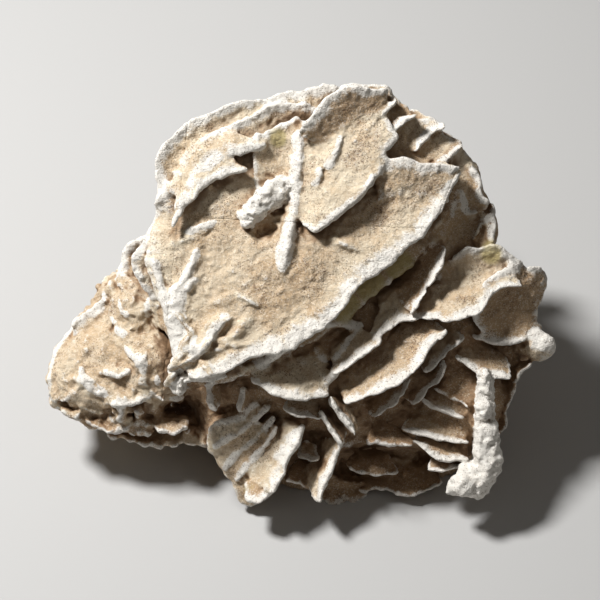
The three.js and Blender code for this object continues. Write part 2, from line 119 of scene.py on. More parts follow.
HAIR = Habit(edge=0.3, bow=0.0, taper=1.5, nicks=0.07, rim=1.4, fillet=1.1, rise=0.9)
FINE = Habit(edge=0.28, bow=0.0, taper=1.2, nicks=0.05, rim=0.8, white=0.95, fillet=1.2)
CHALKY = Habit(edge=0.9, bow=0.0, nicks=0.2, rim=5.0, chalk=1.0)
LOBE = Habit(edge=0.6, bow=0.8, nicks=0.05, rim=2.6, white=0.95, stain=0.4, fillet=1.6)
LUMPY = Habit(edge=0.4, bow=0.0, taper=1.8, rim=1.6, white=0.95, stain=0.3, fillet=0.9, rise=1.9)
FLUTE = Habit(
    edge=0.4, bow=0.0, taper=2.0, nicks=0.25, rim=1.2, white=0.5, stain=0.6, fillet=1.4, rise=1.3,
)
FRINGE = Habit(edge=0.6, bow=0.4, nicks=0.30, rim=1.3, white=0.4, stain=0.6, fillet=1.6)
STRIP = Habit(edge=0.3, bow=0.0, taper=1.8, nicks=0.08, rim=1.5, white=0.85, fillet=0.9, rise=1.1)
PALE = Habit(edge=0.5, bow=0.9, taper=4.0, nicks=0.07, rim=5.2, stain=0.1, fillet=1.2)
BED = Habit(edge=0.8, rim=0.9, white=0.4, stain=0.8)
STANDING = Habit(edge=0.4, bow=0.0, taper=3.2, nicks=0.07, rim=2.8, fillet=1.6, rise=2.3)
BAND = Habit(edge=0.8, bow=0.0, taper=4.0, nicks=0.11, rim=4.6, fillet=2.0, rise=0.9)
BLUNT = Habit(edge=1.0, bow=0.0, nicks=0.15, rim=3.4)

Row = tuple[str, Habit, float, float, float, float, float, tuple[tuple[float, float], ...]]


@dataclass(frozen=True)
class Plate:
    """One thin plate.

    Attributes:
        name: What a maker would call it.
        middle: Its middle.
        axes: Rows along its length, across it, and out of its face.
        corners: Its outline in its own plane, along and across from its middle, one point a row.
        thick: Thickness in the middle.
        habit: How it grew.
        bend: How far it bends out of its plane, as a polynomial of the distance along it.
        steep: Lean past which a plate with a buried edge is bent, in degrees.
        end_dip: How far the ends of a ridge drop, as a share of its rise.
        corner_count: Corners of a wavy oval.
    """

    name: str
    middle: np.ndarray
    axes: np.ndarray
    corners: np.ndarray
    thick: float
    habit: Habit
    bend: tuple[float, ...] = (0.0,)
    steep: ClassVar[float] = 48
    end_dip: ClassVar[float] = 1.4
    corner_count: ClassVar[int] = 14

    @staticmethod
    def leaf(row: Row, top: Callable) -> "Plate":
        """Makes a plate from a row of the tables.

        A steep plate with a buried edge is made flat and then bent along its free edge. Where the
        habit has a rise, the plate follows the sand's slope, and the row's height isn't used.

        Args:
            row: Name, habit, height of the free edge's middle, lean from facing out of the crown
                and the direction of that lean in degrees, depth from the free edge to the buried
                one (0 if the outline is whole), thickness, and the free edge's X and Y.
            top: Says how high the sand already is at each point of an edge.

        Returns:
            The plate.
        """
        name, habit, height, lean, toward, depth, thick, edge = row
        tip, turn = math.radians(lean), math.radians(toward)
        flat = np.array(edge, float)
        if depth:
            chord = flat[-1] - flat[0]
            same_side = np.cross(chord, Plate.heading(turn)) > 0
            turn = math.atan2(chord[0], -chord[1]) + (0 if same_side else math.pi)
        face = np.array([math.sin(tip) * math.cos(turn), math.sin(tip) * math.sin(turn), math.cos(tip)])
        along = np.array([-math.sin(turn), math.cos(turn), 0.0])
        across = np.cross(face, along)
        offset = (flat - flat.mean(0)) @ Plate.heading(turn)
        reach = (flat - flat.mean(0)) @ along[:2]
        bend, slope = (0.0,), 0.0
        if habit.rise:
            slope, level = np.polyfit(reach, top(edge), 1)
            height = level + habit.rise * (1 - Plate.end_dip * (reach / np.abs(reach).max()) ** 4)
            along = np.array([along[0], along[1], slope]) / math.hypot(1, slope)
            face = face - along * (face @ along)
            face /= np.linalg.norm(face)
            across = np.cross(face, along)
        if depth and lean > Plate.steep:
            bend = tuple(np.polyfit(reach, offset * math.sin(tip), 2))
            flat = flat - offset[:, None] * Plate.heading(turn)
            offset = 0 * offset
        points = np.column_stack([flat, height - offset * math.tan(tip) + slope * reach])
        start = points.mean(0)
        if depth:
            inner = points[::-1] - depth * across
            for buried, free in ((0, -1), (-1, 0)):
                inner[buried] += 0.25 * (points.mean(0) - points[free]) + 0.3 * depth * across
            points = np.concatenate([points, inner])
        middle = (points.max(0) + points.min(0)) / 2
        if habit.rise:
            start[2] = level + habit.rise
            middle = middle - face * ((middle - start) @ face)
        corners = (points - middle) @ np.array([along, across]).T
        shift = float((middle - start) @ along)
        if len(bend) > 1:
            bend = tuple(np.poly1d(bend)(np.poly1d([1.0, shift])).coeffs)
        return Plate(name, middle, np.array([along, across, face]), corners, thick, habit, bend)

    @staticmethod
    def heading(turn: float) -> np.ndarray:
        """The direction of an angle, X and Y."""
        return np.array([math.cos(turn), math.sin(turn)])

    @staticmethod
    def lens(name: str, middle: Sequence[float], axes: np.ndarray, long: float, short: float,
             thick: float, habit: Habit, draws: np.random.Generator) -> "Plate":
        """Makes a plate with a wavy oval outline.

        Args:
            name: Its name.
            middle: Its middle.
            axes: Rows along its length, across it, and out of its face.
            long: Half its length.
            short: Half its width.
            thick: Thickness in the middle.
            habit: How it grew.
            draws: Where the waves come from.

        Returns:
            The plate.
        """
        angle = np.linspace(0, 2 * math.pi, Plate.corner_count, endpoint=False)
        reach = 1 + 0.05 * draws.standard_normal(Plate.corner_count)
        corners = np.column_stack([long * np.cos(angle) * reach, short * np.sin(angle) * reach])
        return Plate(name, np.array(middle, float), axes, corners, thick, habit)

    def smooth_outline(self) -> np.ndarray:
        """Draws the outline as a smooth closed curve through its corners.

        Returns:
            Points of the curve, one a row.
        """
        before, start = np.roll(self.corners, 1, 0), self.corners
        end, after = np.roll(start, -1, 0), np.roll(start, -2, 0)
        curve = []
        for t in np.arange(0, 1, 0.2):
            point = 2 * start + (end - before) * t + (2 * before - 5 * start + 4 * end - after) * t**2
            curve.append((point + (3 * start - before - 3 * end + after) * t**3) / 2)
        return np.stack(curve, 1).reshape(-1, 2)


# Each row: name, habit, height of the free edge's middle, lean from facing out of the crown,
# direction of the lean, depth, thickness, and the free edge, X and Y. The height isn't used where
# the habit has a rise.
CROWN = (
    ("back_disc", DISC, 12.0, 10, -50, 0, 4.0, (
        (-33.5, 6.0), (-31.8, 12.3), (-29.6, 16.6), (-29.2, 21.5), (-28.0, 28.0), (-25.6, 31.0),
        (-20.9, 35.0), (-14.8, 38.3), (-7.2, 39.8), (-3.5, 41.0), (3.8, 42.8), (9.0, 42.0),
        (20.0, 34.0), (22.0, 20.0), (0.0, 2.0), (-22.0, -4.0))),
    ("rim_disc", DISC, 14.6, 13, -50, 0, 3.0, (
        (-28.4, 17.5), (-27.2, 21.9), (-24.4, 23.2), (-22.5, 24.9), (-20.3, 28.2), (-18.9, 30.1),
        (-16.1, 32.6), (-12.7, 34.6), (-10.0, 36.1), (-7.8, 37.5), (-5.4, 38.5), (-3.6, 38.9),
        (-0.8, 38.8), (2.5, 38.3), (12.0, 30.0), (10.0, 10.0), (-12.0, 6.0))),
    ("inner_disc", SOFT, 17.2, 10, -50, 0, 2.0, (
        (-9.5, 31.6), (-7.5, 32.4), (-5.4, 33.9), (-2.3, 35.4), (0.2, 35.8), (6.0, 30.0),
        (4.0, 18.0), (-8.0, 20.0))),
    ("main_disc", RIDGE, 17.2, 5, 128, 0, 4.6, (
        (-16.3, -15.6), (-12.4, -13.2), (-8.4, -11.2), (-3.4, -10.8), (0.4, -8.6), (4.0, -6.2),
        (7.4, -3.0), (10.3, 0.0), (12.8, 3.0), (17.9, 6.8), (22.6, 11.0), (24.9, 13.4), (26.5, 15.6),
        (28.4, 18.8), (30.1, 22.3), (31.5, 25.4), (28.5, 26.9), (23.2, 27.2), (17.6, 27.8),
        (13.0, 26.8), (8.0, 31.0), (-6.0, 33.0), (-17.0, 26.5), (-25.5, 20.0), (-29.0, 15.4),
        (-30.6, 9.0), (-28.6, 2.0), (-26.0, -6.0), (-23.4, -12.5), (-20.0, -16.0))),
    ("under_disc", SIDE, 13.6, 6, 128, 0, 3.6, (
        (-15.3, -17.0), (-8.0, -12.6), (-1.0, -10.2), (5.6, -6.4), (12.0, -1.6), (19.5, 4.6),
        (25.5, 10.2), (29.6, 16.0), (31.6, 22.0), (31.0, 26.5), (10.0, 30.0), (-20.0, 22.0),
        (-28.5, 5.0), (-22.0, -15.0))),
    ("band_upper", BROAD, 20.0, 24, 128, 5.5, 2.0, (
        (-26.0, 14.8), (-23.6, 18.4), (-21.0, 22.0), (-19.2, 24.6), (-15.6, 26.8), (-12.8, 27.7),
        (-10.6, 28.7), (-7.0, 30.6))),
    ("band_lower", BROAD, 19.7, 24, 122, 3.2, 1.6, (
        (-22.0, 19.6), (-20.0, 21.6), (-16.8, 22.9), (-14.0, 24.1), (-10.4, 25.0))),
    ("pit_ridge", HAIR, 18.6, 60, -72, 3, 2.1, (
        (-24.0, 14.4), (-20.7, 14.9), (-17.6, 16.0), (-16.0, 16.7))),
    ("roof_plate", SOFT, 20.2, 12, 140, 0, 3.2, (
        (2.9, 13.2), (7.6, 16.4), (10.0, 18.6), (12.3, 20.9), (14.4, 23.2), (15.8, 25.0),
        (17.0, 28.0), (19.0, 32.0), (16.0, 38.0), (9.0, 40.5), (3.0, 36.0), (0.0, 32.0),
        (-1.5, 24.0), (-1.8, 17.0))),
    ("roof_step", THICK, 21.5, 34, 138, 6, 2.0, (
        (2.9, 13.1), (5.0, 14.5), (7.6, 16.2), (10.0, 18.4), (12.3, 20.7), (14.2, 23.2), (14.4, 25.4))),
    ("roof_band", THICK, 20.4, 14, -95, 8, 2.0, (
        (13.2, 25.6), (14.9, 27.2), (17.6, 27.7), (20.6, 28.0), (23.2, 27.3), (26.5, 27.4),
        (28.8, 26.9), (31.4, 25.9))),
    ("roof_rim", THICK, 21.6, 22, -50, 8, 2.6, (
        (-0.4, 33.2), (1.4, 35.9), (3.6, 38.3), (6.3, 40.4), (8.6, 41.7), (11.0, 42.0), (14.0, 41.4),
        (17.2, 41.2))),
    ("roof_ridge_a", HAIR, 21.2, 60, 166, 4, 2.3, ((9.2, 31.6), (7.7, 29.6), (7.0, 27.6), (6.2, 25.0))),
    ("roof_ridge_b", HAIR, 21.2, 60, 164, 4, 1.9, ((4.7, 25.6), (4.3, 23.8), (3.5, 21.8))),
    ("standing_blade", STANDING, 21.9, 78, 176, 9, 3.4, (
        (-0.2, 33.6), (0.0, 31.0), (0.2, 28.0), (0.0, 24.6), (-0.6, 20.9), (-1.6, 16.9),
        (-2.3, 12.9), (-2.8, 9.5), (-3.3, 6.0))),
    ("fan_top_a", SHELL, 20.4, 32, 134, 7, 1.8, (
        (13.9, 33.0), (16.2, 35.4), (17.6, 37.0), (19.2, 38.9))),
    ("fan_top_b", SHELL, 19.8, 34, 134, 7, 1.8, (
        (14.7, 29.2), (16.6, 30.8), (19.2, 33.4), (21.4, 35.7), (22.6, 36.9))),
    ("fan_top_c", SHELL, 17.8, 32, 128, 8, 1.8, (
        (22.4, 29.6), (23.9, 31.1), (25.9, 32.8), (28.2, 34.6))),
    ("fan_top_d", FAN, 16.0, 34, 120, 8, 1.8, ((27.2, 26.8), (29.0, 27.6), (31.0, 29.2), (31.9, 30.6))),
    ("fan_top_e", SOFT, 15.4, 12, -40, 0, 3.0, (
        (8.0, 41.5), (16.6, 42.0), (19.2, 39.2), (22.9, 36.6), (26.5, 35.2), (29.2, 32.0),
        (31.8, 30.2), (35.0, 25.0), (30.0, 18.0), (10.0, 26.0))),
    ("fan_side_a", FAN, 13.6, 30, 170, 9, 2.0, (
        (31.4, 26.0), (34.4, 26.0), (36.3, 23.4), (37.1, 20.6), (38.3, 18.8), (36.0, 17.2))),
    ("fan_side_b", FAN, 12.2, 34, 155, 9, 2.0, (
        (38.4, 19.0), (39.7, 16.0), (39.3, 12.8), (38.8, 11.0), (36.0, 9.0))),
    ("fan_side_c", FAN, 14.2, 48, 150, 5, 1.3, (
        (31.4, 21.6), (32.4, 19.8), (33.2, 17.6), (35.6, 16.8))),
    ("fan_side_d", FAN, 13.2, 50, 205, 5, 1.2, ((38.0, 16.2), (36.6, 14.6), (35.4, 12.8))),
    ("fan_floor", FAN, 10.6, 22, -20, 0, 3.4, (
        (26.0, 12.0), (30.0, 22.0), (34.4, 26.4), (37.2, 21.0), (39.8, 16.0), (39.4, 11.0),
        (36.0, 4.0), (28.0, 2.0))),
)
LEFT = (
    ("left_band", BAND, 18.0, 62, -8, 7, 4.6, (
        (-24.6, 3.6), (-25.4, 1.0), (-25.4, -2.0), (-25.2, -5.4), (-24.6, -8.6), (-23.9, -11.6))),
    ("left_ridge_a", HAIR, 15.6, 76, -14, 5, 2.1, (
        (-28.9, 9.0), (-28.4, 6.4), (-27.5, 3.4), (-26.7, -0.4), (-26.4, -5.0))),
    ("left_ridge_b", HAIR, 18.9, 78, -10, 4, 2.1, (
        (-20.4, 12.4), (-20.7, 9.0), (-21.6, 6.4), (-23.0, 4.2), (-24.8, 2.6))),
    ("left_ridge_c", HAIR, 18.9, 76, -42, 3, 1.7, ((-19.5, 5.6), (-21.4, 4.0), (-22.6, 2.4))),
    ("left_ridge_d", HAIR, 18.6, 78, -6, 3, 1.7, ((-21.6, -6.8), (-21.5, -9.4), (-21.2, -12.0))),
    ("face_ridge", HAIR, 19.6, 66, 146, 4, 2.5, (
        (-14.3, -2.3), (-16.6, -4.8), (-18.2, -7.0), (-19.4, -9.2), (-20.9, -11.7))),
    ("ridge_under", BLADE, 16.9, 54, 120, 5, 2.6, ((-3.2, -10.2), (-7.5, -12.6), (-11.6, -15.4))),
    ("lobe_edge", HAIR, 12.2, 50, 45, 5, 2.3, (
        (-32.0, -11.6), (-29.9, -14.4), (-27.8, -17.2), (-24.6, -19.8))),
    ("lobe_edge_b", HAIR, 13.4, 66, 8, 5, 1.9, ((-26.8, -7.2), (-27.6, -12.0), (-28.0, -16.0))),
    ("lobe_lip", LOBE, 9.2, 24, 96, 8, 2.0, (
        (-38.2, -20.4), (-34.7, -20.6), (-31.6, -20.0), (-28.9, -18.9), (-26.6, -19.6))),
    ("lobe_rim", LOBE, 1.4, 30, 0, 9, 2.6, (
        (-45.6, -3.8), (-48.6, -7.0), (-50.2, -11.0), (-50.6, -15.4), (-50.0, -19.6), (-47.4, -22.4))),
    ("lobe_ridge_a", LUMPY, 9.6, 50, 75, 4, 1.7, ((-39.4, -15.4), (-36.0, -15.2), (-33.2, -13.9))),
    ("lobe_ridge_b", LUMPY, 9.4, 54, 60, 4, 1.7, ((-40.4, -4.6), (-38.8, -7.2), (-36.0, -8.6))),
    ("lobe_ridge_c", LUMPY, 10.4, 54, 62, 4, 1.7, ((-37.8, -4.4), (-36.0, -6.6), (-33.0, -7.4))),
    ("lobe_ridge_d", LUMPY, 9.6, 54, 50, 4, 1.7, ((-39.2, -1.4), (-37.8, -3.8), (-35.2, -5.2))),
    ("lobe_ridge_e", LUMPY, 10.6, 60, 40, 4, 1.7, ((-36.4, -0.4), (-34.8, -2.8), (-31.8, -4.2))),
    ("lobe_ridge_f", LUMPY, 10.6, 60, 20, 4, 1.7, ((-30.9, 0.4), (-30.2, -2.4), (-28.8, -5.2))),
    ("lobe_ridge_g", LUMPY, 7.0, 54, 50, 4, 1.8, ((-44.8, -13.8), (-42.2, -17.4), (-38.6, -19.2))),
    ("lobe_ridge_h", LUMPY, 8.0, 56, 50, 4, 1.7, ((-43.4, -8.8), (-41.0, -11.4), (-37.2, -12.4))),
    ("lobe_ridge_i", LUMPY, 10.0, 56, 50, 4, 1.7, ((-35.6, -9.4), (-32.8, -11.0), (-30.2, -14.0))),
    ("lobe_under_a", FRINGE, 4.4, 34, 85, 7, 2.2, (
        (-46.6, -22.6), (-42.0, -24.6), (-38.0, -25.6), (-34.0, -26.2), (-29.5, -26.0))),
    ("lobe_under_b", FRINGE, 5.4, 44, 72, 6, 1.8, ((-31.0, -24.6), (-27.6, -26.4), (-23.0, -26.0))),
    ("flute_a", FLUTE, 6.0, 66, 0, 4, 2.2, ((-35.6, -20.8), (-36.0, -22.6), (-36.4, -24.8))),
    ("flute_b", FLUTE, 6.0, 66, 0, 4, 2.2, ((-32.2, -20.8), (-32.4, -22.8), (-32.8, -25.4))),
    ("flute_c", FLUTE, 6.0, 66, 0, 4, 2.2, ((-29.4, -19.8), (-29.2, -22.0), (-28.8, -24.6))),
    ("flute_d", FLUTE, 6.0, 66, 0, 4, 2.2, ((-25.6, -20.6), (-24.4, -23.0), (-23.0, -26.4))),
    ("lobe_under_d", FRINGE, 1.0, 32, 90, 9, 2.6, (
        (-37.5, -26.6), (-33.5, -28.6), (-29.2, -29.4), (-24.0, -29.2), (-19.6, -29.2))),
    ("lobe_under_e", FRINGE, 2.4, 30, 88, 8, 2.2, ((-45.0, -22.4), (-41.5, -24.8), (-37.0, -26.6))),
    ("lobe_top", LOBE, 3.6, 24, -45, 0, 3.4, (
        (-46.8, -5.2), (-43.7, -2.6), (-39.2, 0.6), (-37.2, 2.0), (-35.6, 6.2), (-34.4, 9.9),
        (-32.4, 11.4), (-27.0, 6.0), (-28.0, -8.0), (-40.0, -14.0))),
)
RIGHT = (
    ("arc_blade", SHELL, 16.6, 40, 152, 8, 1.6, (
        (28.8, 10.4), (28.5, 8.0), (27.5, 5.6), (26.3, 2.9), (24.6, 0.4), (22.5, -2.9))),
    ("side_ridge_a", HAIR, 17.2, 60, 142, 4, 2.1, (
        (13.0, -4.4), (11.4, -6.6), (8.5, -10.0), (7.0, -11.6))),
    ("side_ridge_c", HAIR, 17.0, 58, 60, 3, 1.9, ((2.4, -9.4), (3.4, -10.8), (4.8, -12.6))),
    ("side_ridge_d", HAIR, 17.0, 60, 150, 3, 1.9, ((9.4, -12.2), (7.6, -14.6), (5.4, -17.0))),
    ("side_ridge_b", HAIR, 17.4, 58, 96, 3, 1.9, ((4.8, -5.6), (7.8, -4.8), (12.8, -4.9))),
    ("right_shelf", SHELL, 15.0, 26, 104, 12, 2.2, (
        (14.8, -7.9), (18.1, -6.4), (21.0, -4.6), (24.6, -4.4), (28.0, -4.8), (31.0, -4.9),
        (33.2, -4.2), (36.4, -2.9), (38.2, 0.0), (40.4, 2.0), (44.3, 3.0))),
    ("right_rim", FAN, 13.6, 30, -80, 8, 2.0, (
        (30.2, 8.2), (31.8, 10.4), (33.5, 11.1), (36.2, 10.8), (38.1, 11.5), (40.2, 11.1),
        (42.1, 9.7), (43.6, 8.3))),
    ("right_wing", FAN, 10.6, 24, -30, 0, 2.2, (
        (43.0, 8.0), (45.0, 7.4), (47.1, 7.6), (49.0, 6.8), (49.7, 4.5), (49.1, 2.0), (48.1, -1.0),
        (47.1, -3.8), (47.8, -6.0), (42.0, -8.0), (35.0, -4.0), (37.0, 4.0))),
    ("step_a", SHELL, 15.8, 30, 118, 7, 1.8, (
        (16.9, -7.9), (13.9, -10.6), (10.3, -13.1), (7.2, -14.3))),
    ("step_b", SHELL, 14.6, 26, 122, 10, 2.0, (
        (29.6, -6.2), (27.0, -9.4), (24.8, -12.3), (22.4, -15.2), (18.9, -17.5), (13.9, -19.3),
        (9.4, -20.4))),
    ("step_c", SHELL, 12.6, 34, 132, 9, 1.6, (
        (33.3, -6.9), (31.0, -9.9), (28.1, -12.5), (25.6, -14.6))),
    ("step_d", SHELL, 12.2, 40, 140, 7, 1.4, (
        (22.6, -15.8), (20.8, -18.8), (18.9, -21.4), (15.8, -23.6))),
    ("step_e", SHELL, 10.8, 38, 138, 7, 1.3, (
        (29.8, -12.2), (29.3, -15.5), (27.1, -18.1), (24.0, -20.7))),
    ("side_shelf", SHELL, 10.8, 32, 76, 7, 1.8, (
        (31.6, -11.6), (34.6, -14.2), (38.1, -15.4), (42.3, -15.9))),
    ("side_shelf_b", FAN, 11.0, 34, 86, 6, 1.6, (
        (35.4, -7.4), (38.0, -8.4), (40.6, -8.9), (45.0, -8.4))),
    ("side_leaf_a", DEEP, 9.8, 38, 58, 5, 1.3, ((28.3, -17.2), (30.3, -19.2), (33.6, -21.4))),
    ("side_leaf_b", SHELL, 9.4, 38, 66, 5, 1.4, ((25.4, -19.8), (28.1, -22.5), (32.3, -24.0))),
    ("side_leaf_c", SHELL, 9.0, 36, 76, 6, 1.5, (
        (20.8, -25.9), (24.6, -27.8), (28.1, -28.9), (32.8, -29.4))),
    ("side_leaf_d", SHELL, 8.2, 36, 76, 6, 1.5, (
        (22.2, -28.8), (25.3, -31.7), (27.8, -33.3), (30.6, -33.4), (33.0, -32.6))),
    ("side_leaf_e", SHELL, 7.2, 40, 98, 5, 1.4, ((25.2, -34.7), (27.6, -35.3), (31.9, -34.0))),
    ("under_leaf", DEEP, 8.8, 32, 86, 6, 1.5, ((13.7, -28.6), (17.4, -29.8), (21.9, -29.7))),
    ("outer_leaf", DEEP, 5.0, 46, 186, 8, 2.0, (
        (43.1, -15.6), (43.3, -19.2), (42.3, -21.9), (41.9, -25.3), (39.8, -27.8), (39.6, -31.0))),
    ("outer_leaf_b", DEEP, 8.0, 48, 200, 6, 1.8, ((46.4, -12.6), (44.3, -14.9), (43.0, -17.0))),
    ("right_tip", BLUNT, 10.0, 44, -120, 7, 4.0, (
        (45.4, -5.4), (47.6, -6.6), (49.6, -7.9), (50.8, -9.6), (50.3, -10.9))),
)
FRONT = (
    ("petal", THICK, 15.6, 22, 88, 9, 1.8, (
        (-9.8, -15.6), (-7.5, -17.7), (-4.1, -19.1), (0.0, -19.7), (4.2, -19.1), (6.2, -18.4))),
    ("petal_low", SHELL, 12.8, 36, 80, 6, 1.4, (
        (-3.3, -21.8), (-1.1, -23.3), (2.4, -24.0), (3.9, -23.7))),
    ("blade_left", PALE, 11.4, 40, 150, 11, 2.4, (
        (0.6, -24.6), (0.4, -27.3), (-1.9, -31.4), (-4.2, -35.6), (-6.2, -38.8))),
    ("blade_left_a", STRIP, 12.6, 58, 135, 4, 1.7, (
        (-7.4, -21.0), (-11.2, -23.2), (-15.4, -25.8), (-18.8, -28.0))),
    ("blade_left_b", STRIP, 12.6, 54, 140, 5, 1.8, (
        (-5.2, -21.8), (-8.6, -24.2), (-12.4, -27.0), (-17.4, -30.6))),
    ("blade_left_c", STRIP, 12.8, 56, 140, 5, 1.8, (
        (-4.4, -24.0), (-7.6, -26.8), (-11.0, -30.0), (-15.4, -34.0))),
    ("blade_left_d", STRIP, 12.0, 56, 145, 4, 1.7, (
        (-3.6, -26.2), (-6.6, -29.2), (-9.6, -32.4), (-12.6, -36.0))),
    ("blade_left_e", SOFT, 3.6, 24, -130, 0, 3.2, (
        (-8.9, -41.1), (-11.3, -39.9), (-12.8, -37.6), (-14.6, -35.2), (-17.6, -31.7), (-19.4, -29.2),
        (-17.0, -24.0), (-8.0, -24.0), (-3.0, -31.0), (-5.0, -38.0))),
    ("blade_foot", THICK, 9.0, 30, 140, 6, 2.0, (
        (-5.6, -38.6), (-7.6, -40.4), (-9.4, -41.0), (-11.2, -39.8))),
    ("spur_right", THICK, 15.2, 62, 26, 6, 1.8, (
        (6.5, -18.7), (8.1, -21.6), (10.3, -25.6), (11.9, -27.0))),
    ("spur_left", THICK, 13.4, 62, 30, 6, 1.8, (
        (4.5, -21.6), (5.6, -24.6), (7.8, -27.6), (9.0, -28.8))),
    ("blade_mid", THICK, 10.6, 54, 158, 9, 2.2, (
        (8.6, -27.6), (7.9, -31.4), (6.3, -34.8), (4.8, -38.0), (3.4, -40.5))),
    ("shelf_mid", SHELL, 8.0, 36, 92, 5, 1.3, ((-1.4, -32.3), (1.0, -33.1), (3.3, -33.0))),
    ("shelf_mid_b", DEEP, 4.6, 30, 92, 6, 1.6, ((-3.4, -36.6), (0.0, -38.2), (3.0, -38.6))),
    ("tooth_a", THICK, 14.4, 72, 2, 5, 1.4, ((-17.4, -16.4), (-17.9, -19.7), (-17.0, -22.6))),
    ("tooth_b", THICK, 13.4, 72, 6, 5, 1.3, ((-11.2, -17.8), (-11.8, -20.4), (-12.3, -22.6))),
    ("deep_leaf_a", DEEP, -0.5, 34, 84, 8, 2.0, (
        (11.4, -38.6), (14.0, -38.9), (17.4, -39.2), (21.0, -40.0), (24.3, -40.0), (28.5, -37.0))),
    ("deep_leaf_b", DEEP, 3.0, 32, 96, 6, 1.6, ((9.6, -34.4), (14.0, -35.6), (18.6, -35.2))),
    ("deep_leaf_c", DEEP, -1.5, 28, 90, 8, 2.2, (
        (3.0, -40.2), (4.6, -41.6), (6.7, -42.5), (11.0, -41.9), (13.0, -39.0))),
    ("thick_blade", CHALKY, 12.6, 82, 178, 9, 2.4, (
        (37.0, -15.6), (36.4, -19.0), (36.3, -23.0), (36.7, -28.0), (36.6, -33.0), (35.4, -37.0))),
    ("thick_foot", CHALKY, 10.0, 40, 60, 0, 4.4, (
        (29.2, -35.6), (30.4, -38.3), (32.9, -39.4), (35.8, -38.2), (37.4, -36.0), (35.0, -32.6),
        (31.6, -33.2))),
)
BEDDING = (
    ("bed_plate", BED, -8.6, 40, 90, 0, 6.5, (
        (-20.0, -22.0), (-10.0, -29.0), (2.0, -30.5), (14.0, -29.0), (24.0, -22.0), (25.0, -8.0),
        (12.0, 0.0), (-8.0, 0.0), (-20.0, -8.0))),
    ("bed_front", BED, -5.2, 42, 84, 12, 4.0, (
        (-2.0, -32.0), (6.0, -33.6), (18.0, -34.2), (27.0, -31.0))),
    ("bed_left", BED, -8.7, 40, 98, 13, 4.0, (
        (-31.0, -23.0), (-24.0, -25.0), (-16.0, -25.0), (-9.0, -22.6))),
)

# Ellipsoids of packed sand that hold the plates: middle x, y, z, three radii and a turn in
# degrees about Z.
PACKED_SAND = (
    (0, 11, 0, 29, 26, 14, 0),
    (4, -10, -1, 31, 19, 14, 0),
    (-28, -6, -2, 16, 13, 9, 0),
    (31, -2, 1, 12, 13, 10, 0),
    (14, -26, -5, 21, 11, 8, 0),
    (-10, -24, -3, 11, 10, 8, 0),
    (0, 2, -12, 30, 22, 13, 0),
    (32, -20, 0, 10.5, 12, 9, 0),
    (40, -9, 1, 7, 7, 6, 0),
    (23, -31, -8, 12, 6.5, 6, 0),
    (5, -33, -6, 15, 7, 7, 0),
    (-37.0, -13.4, 1.0, 13.4, 10.2, 8.6, 14),
    (-40.8, -13.2, -1.0, 9.2, 9.4, 8.0, 0),
    (-31, -2.5, 2, 8.6, 8.4, 8, 30),
    (-29, -12, 4, 9, 8, 7.6, 0),
    (5, -14, -12, 24, 16, 14, 0),
)
# Chalky lumps on the plates, in the same form.
CHALKY_LUMPS = (
    (-6.0, 20.2, 19.0, 5.0, 2.9, 2.6, 34),
    (-9.2, 17.6, 18.6, 3.0, 2.4, 2.2, 40),
    (-22.9, -16.6, 14.8, 1.5, 3.0, 2.6, 4),
    (-18.8, -15.6, 17.2, 4.2, 1.3, 1.9, 4),
    (-23.4, -13.2, 16.0, 1.6, 1.8, 2.2, 0),
    (37.1, -16.8, 12.4, 1.2, 3.2, 1.8, 2),
    (36.5, -21.6, 11.8, 1.8, 3.8, 2.4, 6),
    (36.7, -27.0, 11.2, 2.5, 4.4, 3.0, -4),
    (36.6, -32.4, 10.6, 2.7, 4.6, 3.2, 4),
    (34.6, -36.6, 9.6, 3.2, 2.9, 2.8, -20),
    (31.4, -37.2, 9.0, 2.8, 2.2, 2.4, 14),
)
# Gaps under the plates, cut before they are joined, in the same form.
GAPS = (
    (18.0, -33.5, 5.0, 14.0, 4.6, 10.0, 4),
    (-1.5, -35.5, 6.0, 5.0, 3.6, 7.0, 60),
    (26.5, -22.0, 12.0, 9.0, 3.2, 5.0, -35),
    (-15.5, -24.0, 9.0, 4.6, 2.6, 7.0, 20),
)
# Hollows in the plates, in the same form.
HOLLOWS = (
    (-7.0, 13.6, 19.6, 3.1, 1.8, 3.0, 14),
    (-18.2, 21.2, 19.4, 3.2, 1.2, 1.6, 38),
    (-26.2, -12.2, 15.4, 1.2, 4.4, 3.4, 4),
)


